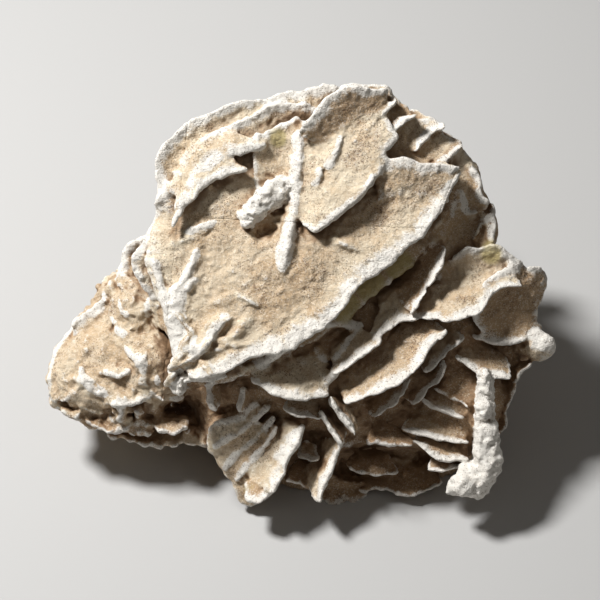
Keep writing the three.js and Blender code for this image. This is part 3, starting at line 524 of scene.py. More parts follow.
@dataclass(frozen=True)
class RearPlates:
    """Plates that stand out all over the back, set out on a golden-angle spiral.

    Attributes:
        count: How many.
        middle: Middle of the mass that they stand on.
        reach: How far from it their middles are, along X, Y and Z.
        band: Where the spiral starts and ends, from -1 straight behind to 0 level with the crown.
        long: Least and most half length.
        width: Half width as a share of half length.
        thick: Least and most thickness.
        tip: Least and most tip away from standing straight out, in degrees.
        golden_angle: Turn from each to the next.
    """

    count: int = 22
    middle: Triple = (1, 4, -7)
    reach: Triple = (29, 24, 17)
    band: tuple[float, float] = (-0.98, 0.02)
    long: tuple[float, float] = (8.5, 15)
    width: float = 0.74
    thick: tuple[float, float] = (2.2, 3.6)
    tip: tuple[float, float] = (12, 46)
    golden_angle: float = math.radians(137.508)

    @staticmethod
    def scatter(count: int, use: int, limits: tuple[float, float]) -> float:
        """A number in a range that looks random, but is always the same for one count and use."""
        wave = math.sin(count * 12.9898 + use * 78.233) * 43758.5453
        return limits[0] + (limits[1] - limits[0]) * (wave - math.floor(wave))

    def plates(self, draws: np.random.Generator) -> Iterator[Plate]:
        """Works out every rear plate.

        Args:
            draws: Where the waves of the outlines come from.

        Returns:
            The plates, from straight behind to the crown's edge.
        """
        for i in range(self.count):
            height = self.band[0] + (self.band[1] - self.band[0]) * i / (self.count - 1)
            turn = i * self.golden_angle
            level = math.sqrt(1 - height * height)
            out = np.array([level * math.cos(turn), level * math.sin(turn), height])
            around = np.array([-math.sin(turn), math.cos(turn), 0.0])
            down = np.cross(out, around)
            twist = self.scatter(i, 0, (0, 2 * math.pi))
            tip = math.radians(self.scatter(i, 1, self.tip))
            face = (around * math.cos(twist) + down * math.sin(twist)) * math.cos(tip) + out * math.sin(tip)
            face = face if face[2] > 0 else -face
            along = np.array([-face[1], face[0], 0.0])
            along /= np.linalg.norm(along)
            axes = np.array([along, np.cross(face, along), face])
            long = self.scatter(i, 2, self.long)
            place = tuple(m + r * o for m, r, o in zip(self.middle, self.reach, out))
            thick = self.scatter(i, 3, self.thick)
            yield Plate.lens(f"rear_{i + 1}", place, axes, long, long * self.width, thick, SOFT, draws)


# ---- The grid of distances ---------------------------------------------------------------


def smooth_step(low: float, high: float, x: np.ndarray) -> np.ndarray:
    """0 below low, 1 above high, and a smooth rise between them."""
    t = np.clip((x - low) / (high - low), 0, 1)
    return t * t * (3 - 2 * t)


@dataclass
class SandBody:
    """The cluster as distances to its surface on a regular grid.

    Attributes:
        spacing: Distance between grid points.
        low: Lowest corner of the grid.
        high: Highest corner.
        ground: How far below the growth centre the ground is.
        lie_back: Angle from the crown facing straight up, in degrees.
        seed: Seed of the random choices.
        distance: Distance to the surface at each grid point, below 0 inside and about 4 at most.
        rim: How much chalky rim is at each grid point.
        tone: How brown the sand there is.
        chalk: How much chalk covers the face there.
    """

    spacing: float
    low: Triple = (-54.0, -45.0, -34.0)
    high: Triple = (54.0, 45.0, 25.0)
    ground: float = GROWTH_CENTRE[2]
    lie_back: float = LIE_BACK
    seed: int = 11
    distance: np.ndarray = field(init=False)
    rim: np.ndarray = field(init=False)
    tone: np.ndarray = field(init=False)
    chalk: np.ndarray = field(init=False)

    def __post_init__(self) -> None:
        """Lays out the grid, empty, and the slow warp that bends every plate a little."""
        self.axes = [np.arange(a, b, self.spacing, dtype=np.float32) for a, b in zip(self.low, self.high)]
        shape = tuple(len(a) for a in self.axes)
        self.distance = np.full(shape, 4.0, np.float32)
        self.rim = np.zeros(shape, np.float32)
        self.tone = np.zeros(shape, np.float32)
        self.chalk = np.zeros(shape, np.float32)
        self.draws = np.random.default_rng(self.seed)
        self.warp = [self.noise(13.0) * 0.35 + self.noise(5.0) * 0.18 for _ in range(3)]

    def noise(self, length: float) -> np.ndarray:
        """Smooth noise over the whole grid.

        Args:
            length: Distance over which it changes.

        Returns:
            Values that spread about 1 either side of 0.
        """
        cells = [int((len(a) * self.spacing) / length) + 2 for a in self.axes]
        values = self.draws.standard_normal(cells).astype(np.float32)
        for axis, places in enumerate(self.axes):
            at = (np.arange(len(places)) * self.spacing / length).astype(np.float32)
            first = at.astype(int)
            part = (at - first).astype(np.float32)
            part = part * part * (3 - 2 * part)
            part = part.reshape([-1 if k == axis else 1 for k in range(3)])
            values = values.take(first, axis) * (1 - part) + values.take(first + 1, axis) * part
        return values * 1.5

    def window(self, middle: Sequence[float], half: Sequence[float]) -> tuple[slice, slice, slice]:
        """The grid's indices in a box.

        Args:
            middle: The box's middle.
            half: Half its size each way.

        Returns:
            One slice for each axis.
        """
        spans = []
        for axis in range(3):
            first = int((middle[axis] - half[axis] - self.low[axis]) / self.spacing)
            last = int((middle[axis] + half[axis] - self.low[axis]) / self.spacing) + 2
            size = len(self.axes[axis])
            spans.append(slice(min(max(first, 0), size), min(max(last, 0), size)))
        return tuple(spans)

    def places(self, box: tuple[slice, slice, slice], warped: bool = True) -> list[np.ndarray]:
        """Finds where the grid points in a box are.

        Args:
            box: One slice for each axis.
            warped: Whether they are bent by the slow warp.

        Returns:
            Their X, Y and Z.
        """
        x = self.axes[0][box[0]][:, None, None]
        y = self.axes[1][box[1]][None, :, None]
        z = self.axes[2][box[2]][None, None, :]
        if not warped:
            return [x, y, z]
        return [x + self.warp[0][box], y + self.warp[1][box], z + self.warp[2][box]]

    def chart(self, plate: Plate, step: float = 0.25) -> tuple[np.ndarray, np.ndarray]:
        """Charts a plate's own plane.

        Args:
            plate: The plate.
            step: Distance between the chart's points.

        Returns:
            The chart's low corner, and three grids: the distance in from the edge, how strongly
            the rim has grown at the nearest part of the edge, and how freely that part faces out.
        """
        curve = plate.smooth_outline()
        ahead = np.roll(curve, -1, 0) - curve
        length = np.maximum(np.linalg.norm(ahead, axis=1), 1e-6)
        way = ahead / length[:, None]
        start = np.concatenate([[0], np.cumsum(length)])
        low = curve.min(0) - 3.0
        size = np.ceil((curve.max(0) + 3.0 - low) / step).astype(int) + 2
        u = (low[0] + step * np.arange(size[0]))[:, None, None]
        v = (low[1] + step * np.arange(size[1]))[None, :, None]
        du, dv = u - curve[:, 0], v - curve[:, 1]
        part = np.clip(du * way[:, 0] + dv * way[:, 1], 0, length)
        away = np.hypot(du - part * way[:, 0], dv - part * way[:, 1])
        nearest = away.argmin(2)
        span = np.take_along_axis(part, nearest[..., None], 2)[..., 0] + start[nearest]
        away = np.take_along_axis(away, nearest[..., None], 2)[..., 0]
        end = np.roll(curve, -1, 0)
        straddles = (curve[:, 1] > v) != (end[:, 1] > v)
        climb = np.where(ahead[:, 1] == 0, 1e-9, ahead[:, 1])
        level = curve[:, 0] + (v - curve[:, 1]) * ahead[:, 0] / climb
        inside = ((u < level) & straddles).sum(2) % 2 == 1
        inward = np.where(inside, away, -away)
        turned = math.copysign(1.0, float(np.cross(curve, end).sum()))
        free = smooth_step(-0.35, 0.6, -way[:, 0] * turned)[nearest]
        vigour = np.full(inward.shape, 0.85)
        total = start[-1]
        for wave, height in ((11.0, 0.16), (5.0, 0.14), (2.3, 0.10)):
            turns = max(1, round(total / wave))
            phase = self.draws.uniform(0, 2 * math.pi)
            vigour += height * np.sin(2 * math.pi * turns * span / total + phase)
        for wave, height in ((8.0, 1.8), (3.4, 1.2), (1.7, 0.5), (1.0, 0.3)):
            turns = max(1, round(total / wave * self.draws.uniform(0.8, 1.2)))
            swell = 0.6 + 0.4 * np.sin(2 * math.pi * span / total * 2 + self.draws.uniform(0, 2 * math.pi))
            wiggle = np.sin(2 * math.pi * turns * span / total + self.draws.uniform(0, 2 * math.pi))
            inward += plate.habit.nicks * height * swell * wiggle
        return low, np.stack([inward, vigour, free]).astype(np.float32)

    def join(self, plate: Plate, step: float = 0.25) -> None:
        """Grows one plate on the cluster.

        Args:
            plate: The plate.
            step: Distance between the points of the plate's chart.
        """
        habit = plate.habit
        corners = plate.corners @ plate.axes[:2]
        sweep = np.abs(np.polyval(plate.bend, plate.corners[:, 0])).max()
        half = np.abs(plate.axes[2]) * (plate.thick / 2 + habit.bow + sweep) + 2.5
        half += np.abs(corners).max(0)
        box = self.window(plate.middle, half)
        if min(s.stop - s.start for s in box) < 2:
            return
        x, y, z = (p - m for p, m in zip(self.places(box), plate.middle.astype(np.float32)))
        u, v, w = (x * a[0] + y * a[1] + z * a[2] for a in plate.axes.astype(np.float32))
        low, chart = self.chart(plate, step)
        inward, vigour, free = self.read_chart(chart, (u - low[0]) / step, (v - low[1]) / step)
        width = min(habit.taper, 0.9 * float(chart[0].max()))
        share = 1 - np.clip(inward / width, 0, 1)
        w = w - habit.bow * share * share * (0.25 + 0.75 * free) - np.polyval(plate.bend, u)
        round_over = np.minimum(0.5 * plate.thick, habit.edge * np.clip(vigour, 0.55, 1.2))
        height = (plate.thick / 2 - round_over) * (1 - share * share)
        across = round_over - inward
        through = np.abs(w) - height
        outside = np.hypot(np.maximum(across, 0), np.maximum(through, 0))
        near = outside + np.minimum(np.maximum(across, through), 0) - round_over
        rim = (1 - smooth_step(0.1 * habit.rim, 1.1 * habit.rim, inward)) * habit.white
        rim = rim * np.clip(vigour, 0.3, 1.1) * (0.35 + 0.65 * free)
        tone = habit.stain + 0.25 * self.draws.uniform(-1, 1) + 0.03 * np.clip(inward, 0, 9)
        self._mark(box, near, rim, tone, habit.chalk)
        self._blend(box, near, habit.fillet)

    @staticmethod
    def read_chart(chart: np.ndarray, u: np.ndarray, v: np.ndarray) -> list[np.ndarray]:
        """Reads a plate's chart at any points.

        Args:
            chart: The chart's grids.
            u: Places along the plate, in steps from the chart's low corner.
            v: Places across it, in the same steps.

        Returns:
            One array for each of the chart's grids.
        """
        i = np.clip(u.astype(np.int32), 0, chart.shape[1] - 2)
        j = np.clip(v.astype(np.int32), 0, chart.shape[2] - 2)
        a, b = np.clip(u - i, 0, 1), np.clip(v - j, 0, 1)
        return [
            (g[i, j] * (1 - a) + g[i + 1, j] * a) * (1 - b)
            + (g[i, j + 1] * (1 - a) + g[i + 1, j + 1] * a) * b
            for g in chart
        ]

    def top(self, edge: Sequence[Sequence[float]]) -> list[float]:
        """Finds how high the sand is along an edge.

        Args:
            edge: The edge's points, X and Y.

        Returns:
            The height at each, or 0 where there is no sand.
        """
        heights = []
        for x, y in edge:
            i, j = (int(round((p - low) / self.spacing)) for p, low in zip((x, y), self.low))
            filled = np.flatnonzero(self.distance[i, j] < 0)
            heights.append(self.axes[2][filled[-1]] if len(filled) else 0.0)
        return heights

    def _mark(self, box: tuple, near: np.ndarray, rim: np.ndarray, tone: Any, chalk: float) -> None:
        """Gives a new plate's or lump's marks to the grid points that are nearest to it.

        Args:
            box: The box of the grid.
            near: Distances to the plate or lump.
            rim: How much chalky rim there is.
            tone: How brown the sand is.
            chalk: How much chalk there is.
        """
        nearer = near < self.distance[box]
        for grid, value in ((self.rim, rim), (self.tone, tone), (self.chalk, chalk)):
            grid[box] = np.where(nearer, value, grid[box])

    def _blend(self, box: tuple, near: np.ndarray, fillet: float) -> None:
        """Joins distances to the cluster with a fillet.

        Args:
            box: The box of the grid.
            near: Distances to what is joined.
            fillet: Size of the fillet.
        """
        old = self.distance[box]
        overlap = np.maximum(fillet - np.abs(old - near), 0) / fillet
        self.distance[box] = np.minimum(old, near) - overlap * overlap * fillet / 4

    def lump(self, row: Sequence[float], grow: float) -> tuple[tuple, np.ndarray]:
        """Distances to an ellipsoid.

        Args:
            row: Its middle, three radii and turn in degrees about Z.
            grow: How far out the distances are wanted.

        Returns:
            The box of the grid, and the distances there.
        """
        middle, radii, turn = row[:3], row[3:6], math.radians(row[6])
        reach = [max(radii[0], radii[1]) + grow] * 2 + [radii[2] + grow]
        box = self.window(middle, reach)
        x, y, z = (p - m for p, m in zip(self.places(box), middle))
        u = (x * math.cos(turn) + y * math.sin(turn)) / radii[0]
        v = (y * math.cos(turn) - x * math.sin(turn)) / radii[1]
        return box, (np.sqrt(u * u + v * v + (z / radii[2]) ** 2) - 1) * min(radii)

    def pack(self, row: Sequence[float], chalk: float, tone: float, fillet: float) -> None:
        """Adds an ellipsoid of packed sand or chalk.

        Args:
            row: Its middle, three radii and turn in degrees about Z.
            chalk: How much chalk it has.
            tone: How brown it is.
            fillet: Size of the fillet round it.
        """
        box, near = self.lump(row, 4.0)
        self._mark(box, near, np.zeros_like(near), tone, chalk)
        self._blend(box, near, fillet)

    def hollow(self, row: Sequence[float]) -> None:
        """Takes an ellipsoid of sand away, with a soft edge.

        Args:
            row: Its middle, three radii and turn in degrees about Z.
        """
        box, near = self.lump(row, 2.0)
        old = self.distance[box]
        overlap = np.maximum(0.8 - np.abs(old + near), 0) / 0.8
        self.distance[box] = np.maximum(old, -near) + overlap * overlap * 0.2

    def roughen(self) -> None:
        """Gives the whole surface lumps, pits and a grain."""
        lobe = 1 - smooth_step(-33.0, -27.0, self.axes[0])[:, None, None]
        calm = 1 - 0.6 * np.clip(self.rim, 0, 1)
        self.distance += (0.08 + 0.14 * lobe) * self.noise(3.6) * calm
        self.distance += ((0.05 + 0.12 * lobe + 0.1 * self.chalk) * self.noise(1.6)) * calm
        self.distance += (0.045 + 0.05 * lobe) * self.noise(0.8) * calm
        self.distance += (0.075 + 0.06 * self.chalk) * self.grit() * (1 - 0.3 * np.clip(self.rim, 0, 1))

    def grit(self) -> np.ndarray:
        """Makes the roughness of single grains.

        Returns:
            A value for each grid point, spread about 1 either side of 0.
        """
        values = self.draws.standard_normal(self.distance.shape).astype(np.float32)
        for _ in range(2):
            for axis in range(3):
                values = (np.roll(values, 1, axis) + 2 * values + np.roll(values, -1, axis)) / 4
        return values / values.std()

    def wear_flat(self) -> None:
        """Cuts the cluster off at the ground."""
        turn = math.radians(self.lie_back)
        _, y, z = self.places((slice(None),) * 3, warped=False)
        above = y * math.sin(turn) + z * math.cos(turn) + self.ground
        self.distance = np.maximum(self.distance, -above)

    def sample(self, grid: np.ndarray, points: np.ndarray) -> np.ndarray:
        """Reads a grid at any points.

        Args:
            grid: One of the body's grids.
            points: Places, one a row.

        Returns:
            The value at each.
        """
        at = (points - np.array(self.low, np.float32)) / self.spacing
        top = np.array(grid.shape) - 2
        first = np.clip(np.floor(at).astype(np.int32), 0, top)
        part = np.clip(at - first, 0, 1).astype(np.float32)
        value = np.zeros(len(points), np.float32)
        for i in (0, 1):
            for j in (0, 1):
                for k in (0, 1):
                    weight = np.abs(1 - i - part[:, 0]) * np.abs(1 - j - part[:, 1])
                    weight = weight * np.abs(1 - k - part[:, 2])
                    value += weight * grid[first[:, 0] + i, first[:, 1] + j, first[:, 2] + k]
        return value

    def outward(self, points: np.ndarray, step: float = 0.5) -> np.ndarray:
        """Finds the direction straight out of the surface.

        Args:
            points: Places, one a row.
            step: Distance over which the slope is taken.

        Returns:
            A unit vector for each place.
        """
        slopes = []
        for axis in range(3):
            shift = np.zeros(3, np.float32)
            shift[axis] = step
            ahead = self.sample(self.distance, points + shift)
            slopes.append(ahead - self.sample(self.distance, points - shift))
        normal = np.stack(slopes, 1)
        return normal / np.maximum(np.linalg.norm(normal, axis=1, keepdims=True), 1e-6)

    def surface_points(self, count: int, draws: np.random.Generator, test: Callable) -> np.ndarray:
        """Places on the surface.

        Args:
            count: How many.
            draws: Where the random choice comes from.
            test: Says of an array of places which will do.

        Returns:
            The places, one a row.
        """
        near = np.argwhere(np.abs(self.distance) < self.spacing * 0.6)
        points = near * self.spacing + np.array(self.low)
        points = points[test(points)]
        points = points[draws.integers(0, len(points), count)].astype(np.float32)
        normal = self.outward(points)
        return points - normal * self.sample(self.distance, points)[:, None]


@dataclass(frozen=True)
class FineRidges:
    """Small thin blades that stand out of the plates' faces in a few crossing directions.

    Attributes:
        count: How many are tried.
        seed: Seed of the random choices.
        low: Lowest corner of where they grow.
        high: Highest corner.
        long: Least and most half length.
        proud: Least and most height above the sand.
        thick: Least and most thickness.
        turns: Directions along them, in degrees.
        jitter: Spread about those directions.
    """

    count: int
    seed: int
    low: Triple = (-54.0, -45.0, -30.0)
    high: Triple = (54.0, 45.0, 25.0)
    long: tuple[float, float] = (2.2, 4.6)
    proud: tuple[float, float] = (0.15, 0.45)
    thick: tuple[float, float] = (1.0, 1.5)
    turns: tuple[float, ...] = (52.0, 20.0, -38.0, 96.0)
    jitter: float = 14.0

    def grow(self, body: SandBody) -> None:
        """Grows the ridges on a body.

        Args:
            body: The cluster so far.
        """
        draws = np.random.default_rng(self.seed)
        low, high = np.array(self.low), np.array(self.high)
        points = body.surface_points(self.count, draws, lambda p: ((p > low) & (p < high)).all(1))
        normals = body.outward(points, 1.5)
        broad = body.sample(body.distance, points - 1.5 * normals) < -0.7
        for point, normal in zip(points[broad], normals[broad]):
            turn = math.radians(draws.choice(self.turns) + draws.normal(0, self.jitter))
            way = np.array([math.cos(turn), math.sin(turn), 0.2])
            along = way - normal * (way @ normal)
            along /= np.linalg.norm(along)
            side = np.cross(normal, along)
            tip = math.radians(draws.uniform(-35, 35))
            face = side * math.cos(tip) + normal * math.sin(tip)
            long = draws.uniform(*self.long)
            ends = np.stack([point + along * long * 0.7, point - along * long * 0.7]) - normal * 0.6
            if (body.sample(body.distance, ends) > 0).any():
                continue
            short = long * draws.uniform(0.35, 0.6)
            middle = point - normal * (short - draws.uniform(*self.proud))
            axes = np.array([along, np.cross(face, along), face])
            thick = draws.uniform(*self.thick)
            body.join(Plate.lens("ridge", middle, axes, long, short, thick, FINE, draws), 0.4)


# All over, low on the large disc, on the lobe, behind the upper edge, and on the right side.
RIDGES = (
    FineRidges(60, 6),
    FineRidges(
        30, 14, (-25.0, -16.0, 15.0), (-7.0, 1.0, 23.0), (2.0, 3.6), (0.2, 0.45), (0.9, 1.3),
        (52.0, 70.0, 20.0, -38.0),
    ),
    FineRidges(
        70, 8, (-50.0, -22.0, 0.0), (-27.0, 6.0, 14.0), (2.0, 4.4), turns=(-45.0, -70.0, -15.0, 40.0),
    ),
    FineRidges(
        70, 15, (-34.0, 0.0, -24.0), (34.0, 42.0, 8.0), (3.0, 6.5), (0.6, 1.6), (1.6, 2.4),
        (0.0, 60.0, 120.0),
    ),
    FineRidges(20, 10, (14.0, -20.0, 4.0), (44.0, 24.0, 17.0), (2.0, 3.6), (0.3, 0.6)),
)


# ---- Meshes ------------------------------------------------------------------------------


class Portion(Enum):
    """Portions that the cluster's mesh is made in, in the order that they are cut off.

    Each value is the way that the portion lies, how far out along it the cut is, and how much
    of a grid step the mesh may leave out where the surface is flat.
    """

    LEFT_LOBE = ((-1.0, 0.1, 0.0), 25.5, 0.02)
    REAR = ((0.0, -0.25, -0.97), 5.0, 0.12)
    RIGHT_FAN = ((0.93, -0.37, 0.0), 19.0, 0.03)
    TOP = ((0.05, 1.0, 0.0), 15.0, 0.04)
    FRONT = ((0.2, -0.98, 0.0), 13.0, 0.01)
    MAIN_FACE = ((0.0, 0.0, 1.0), -100.0, 0.01)

    def beyond(self, x: np.ndarray, y: np.ndarray, z: np.ndarray) -> np.ndarray:
        """How far places are beyond the portion's cut."""
        (a, b, c), out, _ = self.value
        return a * x + b * y + c * z - out


@dataclass(frozen=True)
class PartFrame:
    """Where the crown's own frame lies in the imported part.

    Attributes:
        scale: Metres to one millimetre of the crown's frame.
        centre: The growth centre, in metres.
        lie_back: Angle from the crown facing straight up, in degrees.
    """

    scale: float
    centre: np.ndarray
    lie_back: float

    @staticmethod
    def of_node(node: str, width: float, centre: Triple, lie_back: float) -> "PartFrame":
        """Fits the frame to a node's box.

        Args:
            node: The CAD node.
            width: The node's length along X, in millimetres of the crown's frame.
            centre: The growth centre from the middle of the box's underside.
            lie_back: Angle from the crown facing straight up, in degrees.

        Returns:
            The frame.
        """
        low, high = (np.array(corner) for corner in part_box(node))
        scale = float(high[0] - low[0]) / width
        under = np.array([(low[0] + high[0]) / 2, (low[1] + high[1]) / 2, low[2]])
        return PartFrame(scale, under + scale * np.array(centre), lie_back)

    def turned(self, vectors: np.ndarray) -> np.ndarray:
        """Turns directions of the crown's frame into directions of the part.

        Args:
            vectors: Directions or places, one a row.

        Returns:
            The same, turned back by the angle that the cluster lies at.
        """
        turn = math.radians(self.lie_back)
        c, s = math.cos(turn), math.sin(turn)
        matrix = np.array([[1, 0, 0], [0, c, -s], [0, s, c]])
        return vectors @ matrix.T

    def placed(self, points: np.ndarray) -> np.ndarray:
        """Places of the crown's frame as places of the part, in metres."""
        return self.turned(points) * self.scale + self.centre


def mesh_object(name: str, points: np.ndarray, faces: Sequence[np.ndarray]) -> bpy.types.Object:
    """Makes a smooth mesh object.

    Args:
        name: The object's name.
        points: Its vertices, in metres.
        faces: Arrays of faces, each of one number of corners.

    Returns:
        The object, in the scene.
    """
    faces = [f for f in faces if len(f)]
    corners = np.concatenate([f.ravel() for f in faces]).astype(np.int32)
    sizes = np.concatenate([np.full(len(f), f.shape[1]) for f in faces])
    starts = np.concatenate([[0], np.cumsum(sizes)[:-1]]).astype(np.int32)
    mesh = bpy.data.meshes.new(name)
    mesh.vertices.add(len(points))
    mesh.vertices.foreach_set("co", points.astype(np.float32).ravel())
    mesh.loops.add(len(corners))
    mesh.loops.foreach_set("vertex_index", corners)
    mesh.polygons.add(len(starts))
    mesh.polygons.foreach_set("loop_start", starts)
    mesh.update(calc_edges=True)
    mesh.shade_smooth()
    thing = bpy.data.objects.new(name, mesh)
    bpy.context.scene.collection.objects.link(thing)
    return thing


def whole_skins(
    points: np.ndarray, faces: Sequence[np.ndarray], least: float = 400.0
) -> tuple[np.ndarray, list[np.ndarray]]:
    """Keeps the skins that hold a volume, and drops specks and the walls of shut-in holes.

    Args:
        points: Vertices, in grid steps.
        faces: Arrays of faces, each of one number of corners.
        least: Least volume that is kept, in cubed grid steps.

    Returns:
        The vertices that are left, and the faces.
    """
    label = np.arange(len(points))
    while True:
        before = label.copy()
        for group in faces:
            np.minimum.at(label, group, label[group].min(1)[:, None])
        label = label[label]
        label = label[label]
        if (label == before).all():
            break
    volume = np.zeros(len(points))
    for group in faces:
        first = points[group[:, 0]]
        for k in range(1, group.shape[1] - 1):
            wedge = np.cross(points[group[:, k]], points[group[:, k + 1]])
            np.add.at(volume, label[group[:, 0]], np.einsum("ij,ij->i", first, wedge) / 6)
    kept = volume[label] > least
    number = np.cumsum(kept) - 1
    return points[kept], [number[group[kept[group[:, 0]]]] for group in faces]


def add_mark(thing: bpy.types.Object, name: str, values: np.ndarray) -> None:
    """Stores one number at each vertex, for the finish to read."""
    mark = thing.data.attributes.new(name, "FLOAT", "POINT")
    mark.data.foreach_set("value", values.astype(np.float32))


# ---- Finishes ----------------------------------------------------------------------------


class Value:
    """One output of a node, with arithmetic that adds Math nodes."""

    def __init__(self, bench: "Bench", socket: bpy.types.NodeSocket) -> None:
        """Wraps a socket of the bench's tree."""
        self.bench = bench
        self.socket = socket

    def __add__(self, other: Any) -> "Value":
        """The sum."""
        return self.bench.math("ADD", self, other)

    def __radd__(self, other: Any) -> "Value":
        """The sum."""
        return self.bench.math("ADD", other, self)

    def __sub__(self, other: Any) -> "Value":
        """The difference."""
        return self.bench.math("SUBTRACT", self, other)

    def __rsub__(self, other: Any) -> "Value":
        """The difference, the other way round."""
        return self.bench.math("SUBTRACT", other, self)

    def __mul__(self, other: Any) -> "Value":
        """The product."""
        return self.bench.math("MULTIPLY", self, other)

    def __rmul__(self, other: Any) -> "Value":
        """The product."""
        return self.bench.math("MULTIPLY", other, self)

    def rise(self, low: float, high: float) -> "Value":
        """Adds a smooth rise.

        Args:
            low: Where it leaves 0.
            high: Where it reaches 1.

        Returns:
            The risen value.
        """
        settings = {"interpolation_type": "SMOOTHSTEP"}
        sockets = {"Value": self, "From Min": low, "From Max": high}
        return self.bench.node("ShaderNodeMapRange", settings, sockets, "Result")


class Bench:
    """Builds one material's nodes."""

    def __init__(self, name: str) -> None:
        """Starts an empty material.

        Args:
            name: The material's name.
        """
        self.material = bpy.data.materials.new(name)
        self.material.use_nodes = True
        self.tree = self.material.node_tree
        self.tree.nodes.clear()

    def node(self, kind: str, settings: dict, sockets: dict, output: Any = 0) -> Value:
        """Adds a node.

        Args:
            kind: Its type.
            settings: What is set on the node itself, first. "stops" are a ramp's.
            sockets: Values or links of its inputs, by name or number.
            output: Name or number of the output wanted.

        Returns:
            That output.
        """
        made = self.tree.nodes.new(kind)
        for name, value in settings.items():
            if name == "stops":
                self._set_stops(made.color_ramp, value)
            else:
                setattr(made, name, value)
        for name, value in sockets.items():
            if isinstance(value, Value):
                self.tree.links.new(value.socket, made.inputs[name])
            else:
                made.inputs[name].default_value = value
        return Value(self, made.outputs[output])

    @staticmethod
    def _set_stops(ramp: bpy.types.ColorRamp, stops: Sequence[tuple[float, Colour]]) -> None:
        """Sets a ramp's stops.

        Args:
            ramp: The ramp.
            stops: Place and colour of each.
        """
        while len(ramp.elements) < len(stops):
            ramp.elements.new(0.5)
        for element, (place, colour) in zip(ramp.elements, stops):
            element.position = place
            element.color = (*colour, 1.0)

    def math(self, operation: str, *values: Any) -> Value:
        """A Math node on values and numbers."""
        return self.node("ShaderNodeMath", {"operation": operation}, dict(enumerate(values)))

    def mark(self, name: str) -> Value:
        """A number stored at each vertex."""
        return self.node("ShaderNodeAttribute", {"attribute_name": name}, {}, "Fac")

    def noise(self, place: Value, size: float, detail: float = 3.0, roughness: float = 0.55) -> Value:
        """Noise whose features are about size metres across, from 0 to 1."""
        sockets = {"Vector": place, "Scale": 1 / size, "Detail": detail, "Roughness": roughness}
        return self.node("ShaderNodeTexNoise", {}, sockets, "Fac")

    def cells(self, place: Value, size: float) -> Value:
        """A random number for each grain-shaped cell of a size."""
        colour = self.node("ShaderNodeTexVoronoi", {}, {"Vector": place, "Scale": 1 / size}, "Color")
        return self.node("ShaderNodeSeparateColor", {}, {"Color": colour}, "Red")

    def mix(self, share: Any, first: Any, second: Any) -> Value:
        """Mixes two colours.

        Args:
            share: How much of the second there is, from 0 to 1.
            first: The first colour.
            second: The second.

        Returns:
            The mixture.
        """
        sides = [c if isinstance(c, Value) else (*c, 1.0) for c in (first, second)]
        settings = {"data_type": "RGBA", "blend_type": "MIX", "clamp_factor": True}
        return self.node("ShaderNodeMix", settings, {0: share, 6: sides[0], 7: sides[1]}, 2)

    def finish(
        self, colour: Value, roughness: Any, bumps: Sequence[tuple[Value, float]], **fixed: Any
    ) -> bpy.types.Material:
        """Ends the material with its shader.

        Args:
            colour: The base colour.
            roughness: The roughness.
            bumps: Heights and how far each stands up, in metres.
            fixed: Other inputs of the shader that are the same all over.

        Returns:
            The material.
        """
        normal = None
        for height, rise in bumps:
            sockets = {"Height": height, "Distance": rise, "Strength": 1.0}
            if normal is not None:
                sockets["Normal"] = normal
            normal = self.node("ShaderNodeBump", {}, sockets)
        sockets = {"Base Color": colour, "Roughness": roughness}
        if normal is not None:
            sockets["Normal"] = normal
        for name, value in fixed.items():
            sockets[name.replace("_", " ")] = value
        shader = self.node("ShaderNodeBsdfPrincipled", {}, sockets)
        self.node_output(shader)
        return self.material

    def node_output(self, shader: Value) -> None:
        """Joins a shader to the material's surface."""
        output = self.tree.nodes.new("ShaderNodeOutputMaterial")
        self.tree.links.new(shader.socket, output.inputs["Surface"])


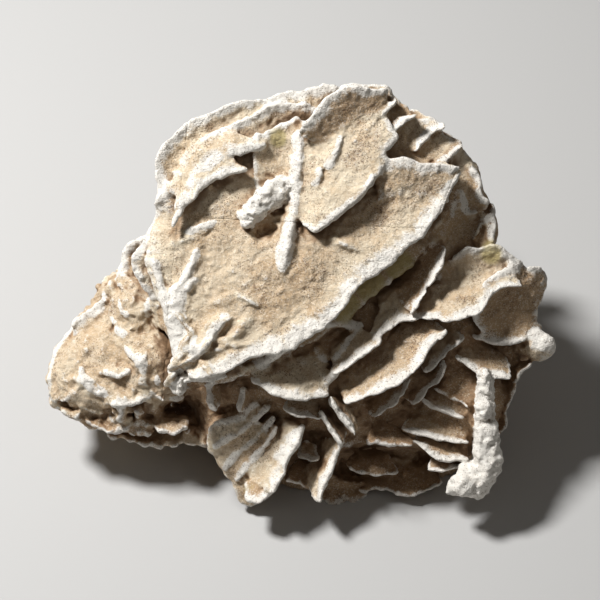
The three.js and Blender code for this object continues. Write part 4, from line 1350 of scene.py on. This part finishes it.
@dataclass(frozen=True)
class SandyGypsum:
    """Tan sand over gypsum, chalky white on the rims, with brown sand and painted shade deep in the
    crevices.

    Attributes:
        sand: Sand on the faces.
        pale_sand: Sand where it is thin.
        rust_and_shade: Iron-stained sand.
        chalk: Clean chalky gypsum.
        dull_chalk: Weathered chalky gypsum.
        painted_crevice_shade: Sand deep in the creases.
        dark_grain: The dark grains.
        light_grain: The light grains.
        honey: Clear gypsum at a few broken edges.
        grain: Size of a grain, in metres.
    """

    sand: Colour = (0.52, 0.375, 0.23)
    pale_sand: Colour = (0.68, 0.58, 0.43)
    # rust_and_shade: Iron-stained sand, dark enough to also stand for painted shade in the crevices and on
    # the deep plates.
    rust_and_shade: Colour = (0.33, 0.205, 0.115)
    chalk: Colour = (0.84, 0.81, 0.75)
    dull_chalk: Colour = (0.66, 0.62, 0.56)
    # painted_crevice_shade: Painted shade deep in the crevices, a dark brown.
    painted_crevice_shade: Colour = (0.17, 0.095, 0.045)
    dark_grain: Colour = (0.14, 0.09, 0.06)
    light_grain: Colour = (0.88, 0.82, 0.70)
    honey: Colour = (0.42, 0.34, 0.13)
    grain: float = 0.00021

    def material(self) -> bpy.types.Material:
        """Makes the material.

        Returns:
            The material, its nodes joined up.
        """
        bench = Bench("sandy_gypsum")
        place = bench.node("ShaderNodeTexCoord", {}, {}, "Object")
        rim, painted_crevice_shade, edge = bench.mark("rim"), bench.mark("painted_crevice_shade"), bench.mark("edge")
        tone, chalk, clear = bench.mark("tone"), bench.mark("chalk"), bench.mark("clear")

        broad = bench.noise(place, 0.016, 2.0)
        mottle = bench.noise(place, 0.0035, 4.0, 0.65)
        fine = bench.noise(place, 0.0011, 3.0, 0.7)
        speck = bench.cells(place, self.grain)

        patches = bench.noise(place, 0.006, 3.0, 0.6)
        pale = (mottle * 0.9 - tone * 0.5 + broad * 0.7).rise(0.35, 0.85)
        colour = bench.mix(pale, self.sand, self.pale_sand)
        colour = bench.mix((tone + mottle * 0.5 - 0.25).rise(0.25, 1.0) * 0.75, colour, self.rust_and_shade)
        colour = bench.mix((patches * 0.6 + fine * 0.5).rise(0.56, 0.74) * 0.5, colour, self.rust_and_shade)
        colour = bench.mix(speck.rise(0.74, 0.86) * 0.28, colour, self.light_grain)
        dark = (1 - speck.rise(0.10, 0.20)) * patches.rise(0.35, 0.65) * 0.7
        colour = bench.mix(dark, colour, self.dark_grain)
        # Brown sand in the crevices, partly real staining and partly painted shade.
        colour = bench.mix(painted_crevice_shade.rise(0.12, 0.55) * 0.7, colour, self.rust_and_shade)
        # Painted shade, darkest where the crevices are most shut in.
        colour = bench.mix(painted_crevice_shade.rise(0.36, 0.80) * 0.92, colour, self.painted_crevice_shade)

        white = rim * 1.5 + edge.rise(0.05, 0.35) * 0.75 + chalk * 1.2
        white = white + mottle * 1.0 + fine * 0.7 + patches * 1.1
        # Less chalk white where the painted crevice shade lies.
        white = (white - painted_crevice_shade * 0.8 + (speck - 0.5) * 0.35).rise(1.6, 2.35)
        chalk_colour = bench.mix(fine.rise(0.35, 0.65) * 0.5, self.chalk, self.dull_chalk)
        chalk_colour = bench.mix((1 - speck.rise(0.04, 0.10)) * 0.5, chalk_colour, self.dark_grain)
        colour = bench.mix(white * 0.92, colour, chalk_colour)
        colour = bench.mix((clear * 0.9 + mottle * 0.4 - 0.2).rise(0.25, 0.8) * 0.75, colour, self.honey)

        roughness = 0.92 - clear.rise(0.2, 0.8) * 0.5 - white * 0.06
        bumps = [(mottle, 0.0004), (fine, 0.0005), (speck, 0.00012)]
        return bench.finish(colour, roughness, bumps, Specular_IOR_Level=0.35)


@dataclass(frozen=True)
class PaleFloor:
    """A plain pale floor."""

    colour: Colour = (0.46, 0.455, 0.445)

    def material(self) -> bpy.types.Material:
        """Makes the material.

        Returns:
            The material, its nodes joined up.
        """
        bench = Bench("pale_floor")
        place = bench.node("ShaderNodeTexCoord", {}, {}, "Object")
        drift = bench.noise(place, 0.4, 2.0)
        colour = bench.mix(drift * 0.1, self.colour, tuple(c * 0.93 for c in self.colour))
        return bench.finish(colour, 0.85, [])


# ---- The cluster -------------------------------------------------------------------------


@dataclass
class Rose:
    """The whole cluster, grown and then dressed.

    Attributes:
        frame: Where it lies in the part.
        spacing: Distance between grid points.
        sink: How far a portion is drawn in where it runs under those cut off before it.
        overlap: How far it runs under them.
        lobe_side: X left of which the packed sand is the lobe's paler sand.
        clear_spots: Where the gypsum is clear: X, Y, Z and radius.
    """

    frame: PartFrame
    spacing: float = 0.30
    sink: float = 0.3
    overlap: float = 1.2
    lobe_side: float = -25.0
    clear_spots: tuple[tuple[float, ...], ...] = (
        (9.0, -1.5, 16.0, 4.0),
        (14.0, 2.5, 16.0, 4.0),
        (20.0, 6.5, 16.0, 4.0),
        (-4.5, 32.0, 17.0, 2.6),
        (38.0, 9.5, 13.0, 3.0),
        (-9.5, -38.5, 6.0, 3.0),
    )

    def grow(self) -> SandBody:
        """Grows the cluster.

        Returns:
            Its grid of distances.
        """
        body = SandBody(self.spacing)
        for row in PACKED_SAND:
            body.pack(row, 0.0, 0.4 if row[0] < self.lobe_side else 0.8, 2.0)
        for row in GAPS:
            body.hollow(row)
        for row in sorted(CROWN + LEFT + RIGHT + FRONT + BEDDING, key=lambda row: row[1].rise > 0):
            body.join(Plate.leaf(row, body.top))
        for plate in RearPlates().plates(body.draws):
            body.join(plate)
        for row in CHALKY_LUMPS:
            body.pack(row, 1.0, 0.1, 1.0)
        for row in HOLLOWS:
            body.hollow(row)
        for ridges in RIDGES:
            ridges.grow(body)
        body.roughen()
        body.wear_flat()
        return body

    def meshes(self, body: SandBody) -> list[bpy.types.Object]:
        """Turns the grown cluster into one closed mesh for each portion, with its marks."""
        return [self.mesh(body, portion) for portion in Portion]

    def mesh(self, body: SandBody, portion: Portion) -> bpy.types.Object:
        """Makes one portion's mesh.

        Args:
            body: The whole cluster.
            portion: The portion wanted. It reaches a little way under those cut off before it.

        Returns:
            The mesh object.
        """
        x, y, z = body.places((slice(None),) * 3, warped=False)
        distance = np.maximum(body.distance, -portion.beyond(x, y, z))
        for earlier in list(Portion)[: list(Portion).index(portion)]:
            beyond = earlier.beyond(x, y, z)
            distance = distance + self.sink * smooth_step(0.0, 2 * self.sink, beyond)
            distance = np.maximum(distance, beyond - self.overlap)
        filled = np.argwhere(distance < 0.0)
        low, high = np.maximum(filled.min(0) - 3, 0), filled.max(0) + 4
        distance = distance[low[0]:high[0], low[1]:high[1], low[2]:high[2]]
        grid = openvdb.FloatGrid(1.0)
        grid.copyFromArray(np.ascontiguousarray(np.clip(distance, -1, 1)))
        points, triangles, quads = grid.convertToPolygons(0.0, adaptivity=portion.value[2])
        points, faces = whole_skins(points, [triangles, quads])
        places = (points + low) * body.spacing + np.array(body.low, np.float32)
        thing = mesh_object(portion.name.lower(), self.frame.placed(places), faces)
        self.mark(thing, body, places)
        return thing

    def mark(self, thing: bpy.types.Object, body: SandBody, places: np.ndarray) -> None:
        """Stores at each vertex what the finish reads.

        Args:
            thing: The mesh object.
            body: The cluster's grids.
            places: The vertices in the crown's frame.
        """
        normal = body.outward(places, 0.4)
        # How shut in each place is, from the free space around it; the finish paints shade by it.
        shut = np.zeros(len(places), np.float32)
        for reach, weight in ((0.9, 0.25), (2.2, 0.3), (4.5, 0.25), (8.0, 0.2)):
            clear = body.sample(body.distance, places + normal * reach)
            shut += weight * np.clip(1 - clear / min(reach, 3.5), 0, 1)
        around = np.zeros(len(places), np.float32)
        for axis in range(3):
            for way in (-0.8, 0.8):
                shift = np.zeros(3, np.float32)
                shift[axis] = way
                around += body.sample(body.distance, places + shift) / 6
        spots = np.zeros(len(places), np.float32)
        for x, y, z, size in self.clear_spots:
            away = np.linalg.norm(places - np.array([x, y, z]), axis=1)
            spots = np.maximum(spots, 1 - smooth_step(0.4 * size, 1.3 * size, away))
        inside = places - normal * 0.3
        add_mark(thing, "rim", body.sample(body.rim, inside))
        add_mark(thing, "tone", body.sample(body.tone, inside))
        add_mark(thing, "chalk", body.sample(body.chalk, inside))
        add_mark(thing, "painted_crevice_shade", shut)
        add_mark(thing, "edge", around)
        add_mark(thing, "clear", spots)


# ---- Studio ------------------------------------------------------------------------------


@dataclass(frozen=True)
class Studio:
    """A pale floor, soft light from the upper left, and a camera that looks straight at the crown.

    Attributes:
        aim: What the camera and the lights are aimed at, in metres.
        elevation: How steeply the camera looks down, in degrees.
        distance: How far away the camera is.
        view_width: How much it sees at that distance.
        floor_size: Half the floor's side.
        sky: Colour of the light from all round.
        sky_strength: Its strength.
    """

    aim: Triple
    elevation: float = 50.0
    distance: float = 0.62
    view_width: float = 0.120
    floor_size: float = 3.0
    sky: Colour = (1.0, 0.95, 0.88)
    sky_strength: float = 0.10

    def build(self) -> None:
        """Sets everything up."""
        bpy.context.scene.view_settings.view_transform = "Standard"
        self._floor()
        self._camera()
        self._light("key", (-0.50, 0.16, 0.83), 0.50, 0.10, 4.3)
        self._light("fill", (0.75, -0.25, 0.75), 1.3, 1.2, 0.6)
        world = bpy.data.worlds.new("studio")
        bpy.context.scene.world = world
        world.use_nodes = True
        background = world.node_tree.nodes["Background"]
        background.inputs[0].default_value = (*self.sky, 1)
        background.inputs[1].default_value = self.sky_strength

    def _floor(self) -> None:
        """Adds the floor."""
        s = self.floor_size
        corners = np.array([(-s, -s, 0), (s, -s, 0), (s, s, 0), (-s, s, 0)])
        floor = mesh_object("floor", corners, [np.array([[0, 1, 2, 3]])])
        floor.data.materials.append(PaleFloor().material())

    def _light(self, name: str, way: Triple, distance: float, size: float, power: float) -> None:
        """Adds one soft round light.

        Args:
            name: Its name.
            way: Direction from the rose.
            distance: How far away it is.
            size: Its diameter.
            power: Its power in watts.
        """
        lamp = bpy.data.lights.new(name, "AREA")
        lamp.shape = "DISK"
        lamp.size = size
        lamp.energy = power
        light = bpy.data.objects.new(name, lamp)
        out = Vector(way).normalized()
        light.location = Vector(self.aim) + out * distance
        light.rotation_euler = out.to_track_quat("Z", "Y").to_euler()
        bpy.context.scene.collection.objects.link(light)

    def _camera(self) -> None:
        """Adds the camera."""
        lens = bpy.data.cameras.new("camera")
        lens.angle = 2 * math.atan(self.view_width / 2 / self.distance)
        lens.clip_start = 0.01
        camera = bpy.data.objects.new("camera", lens)
        rise = math.radians(self.elevation)
        out = Vector((0, -math.cos(rise), math.sin(rise)))
        camera.location = Vector(self.aim) + out * self.distance
        camera.rotation_euler = out.to_track_quat("Z", "Y").to_euler()
        bpy.context.scene.collection.objects.link(camera)
        bpy.context.scene.camera = camera


def main() -> None:
    """Builds the scene."""
    logging.basicConfig(level=logging.INFO, format="%(message)s")
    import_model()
    frame = PartFrame.of_node("sand_rose", CLUSTER_LENGTH, GROWTH_CENTRE, LIE_BACK)
    rose = Rose(frame)
    body = rose.grow()
    finish = SandyGypsum().material()
    for piece in rose.meshes(body):
        piece.data.materials.append(finish)
        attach(piece, "root")
        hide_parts("sand_rose")
        LOG.info("%s: %d triangles", piece.name, sum(len(p.vertices) - 2 for p in piece.data.polygons))
    aim = frame.placed(np.array([[0.0, 0.0, AIM_HEIGHT]]))[0]
    Studio(tuple(aim)).build()


if __name__ == "__main__":
    main()
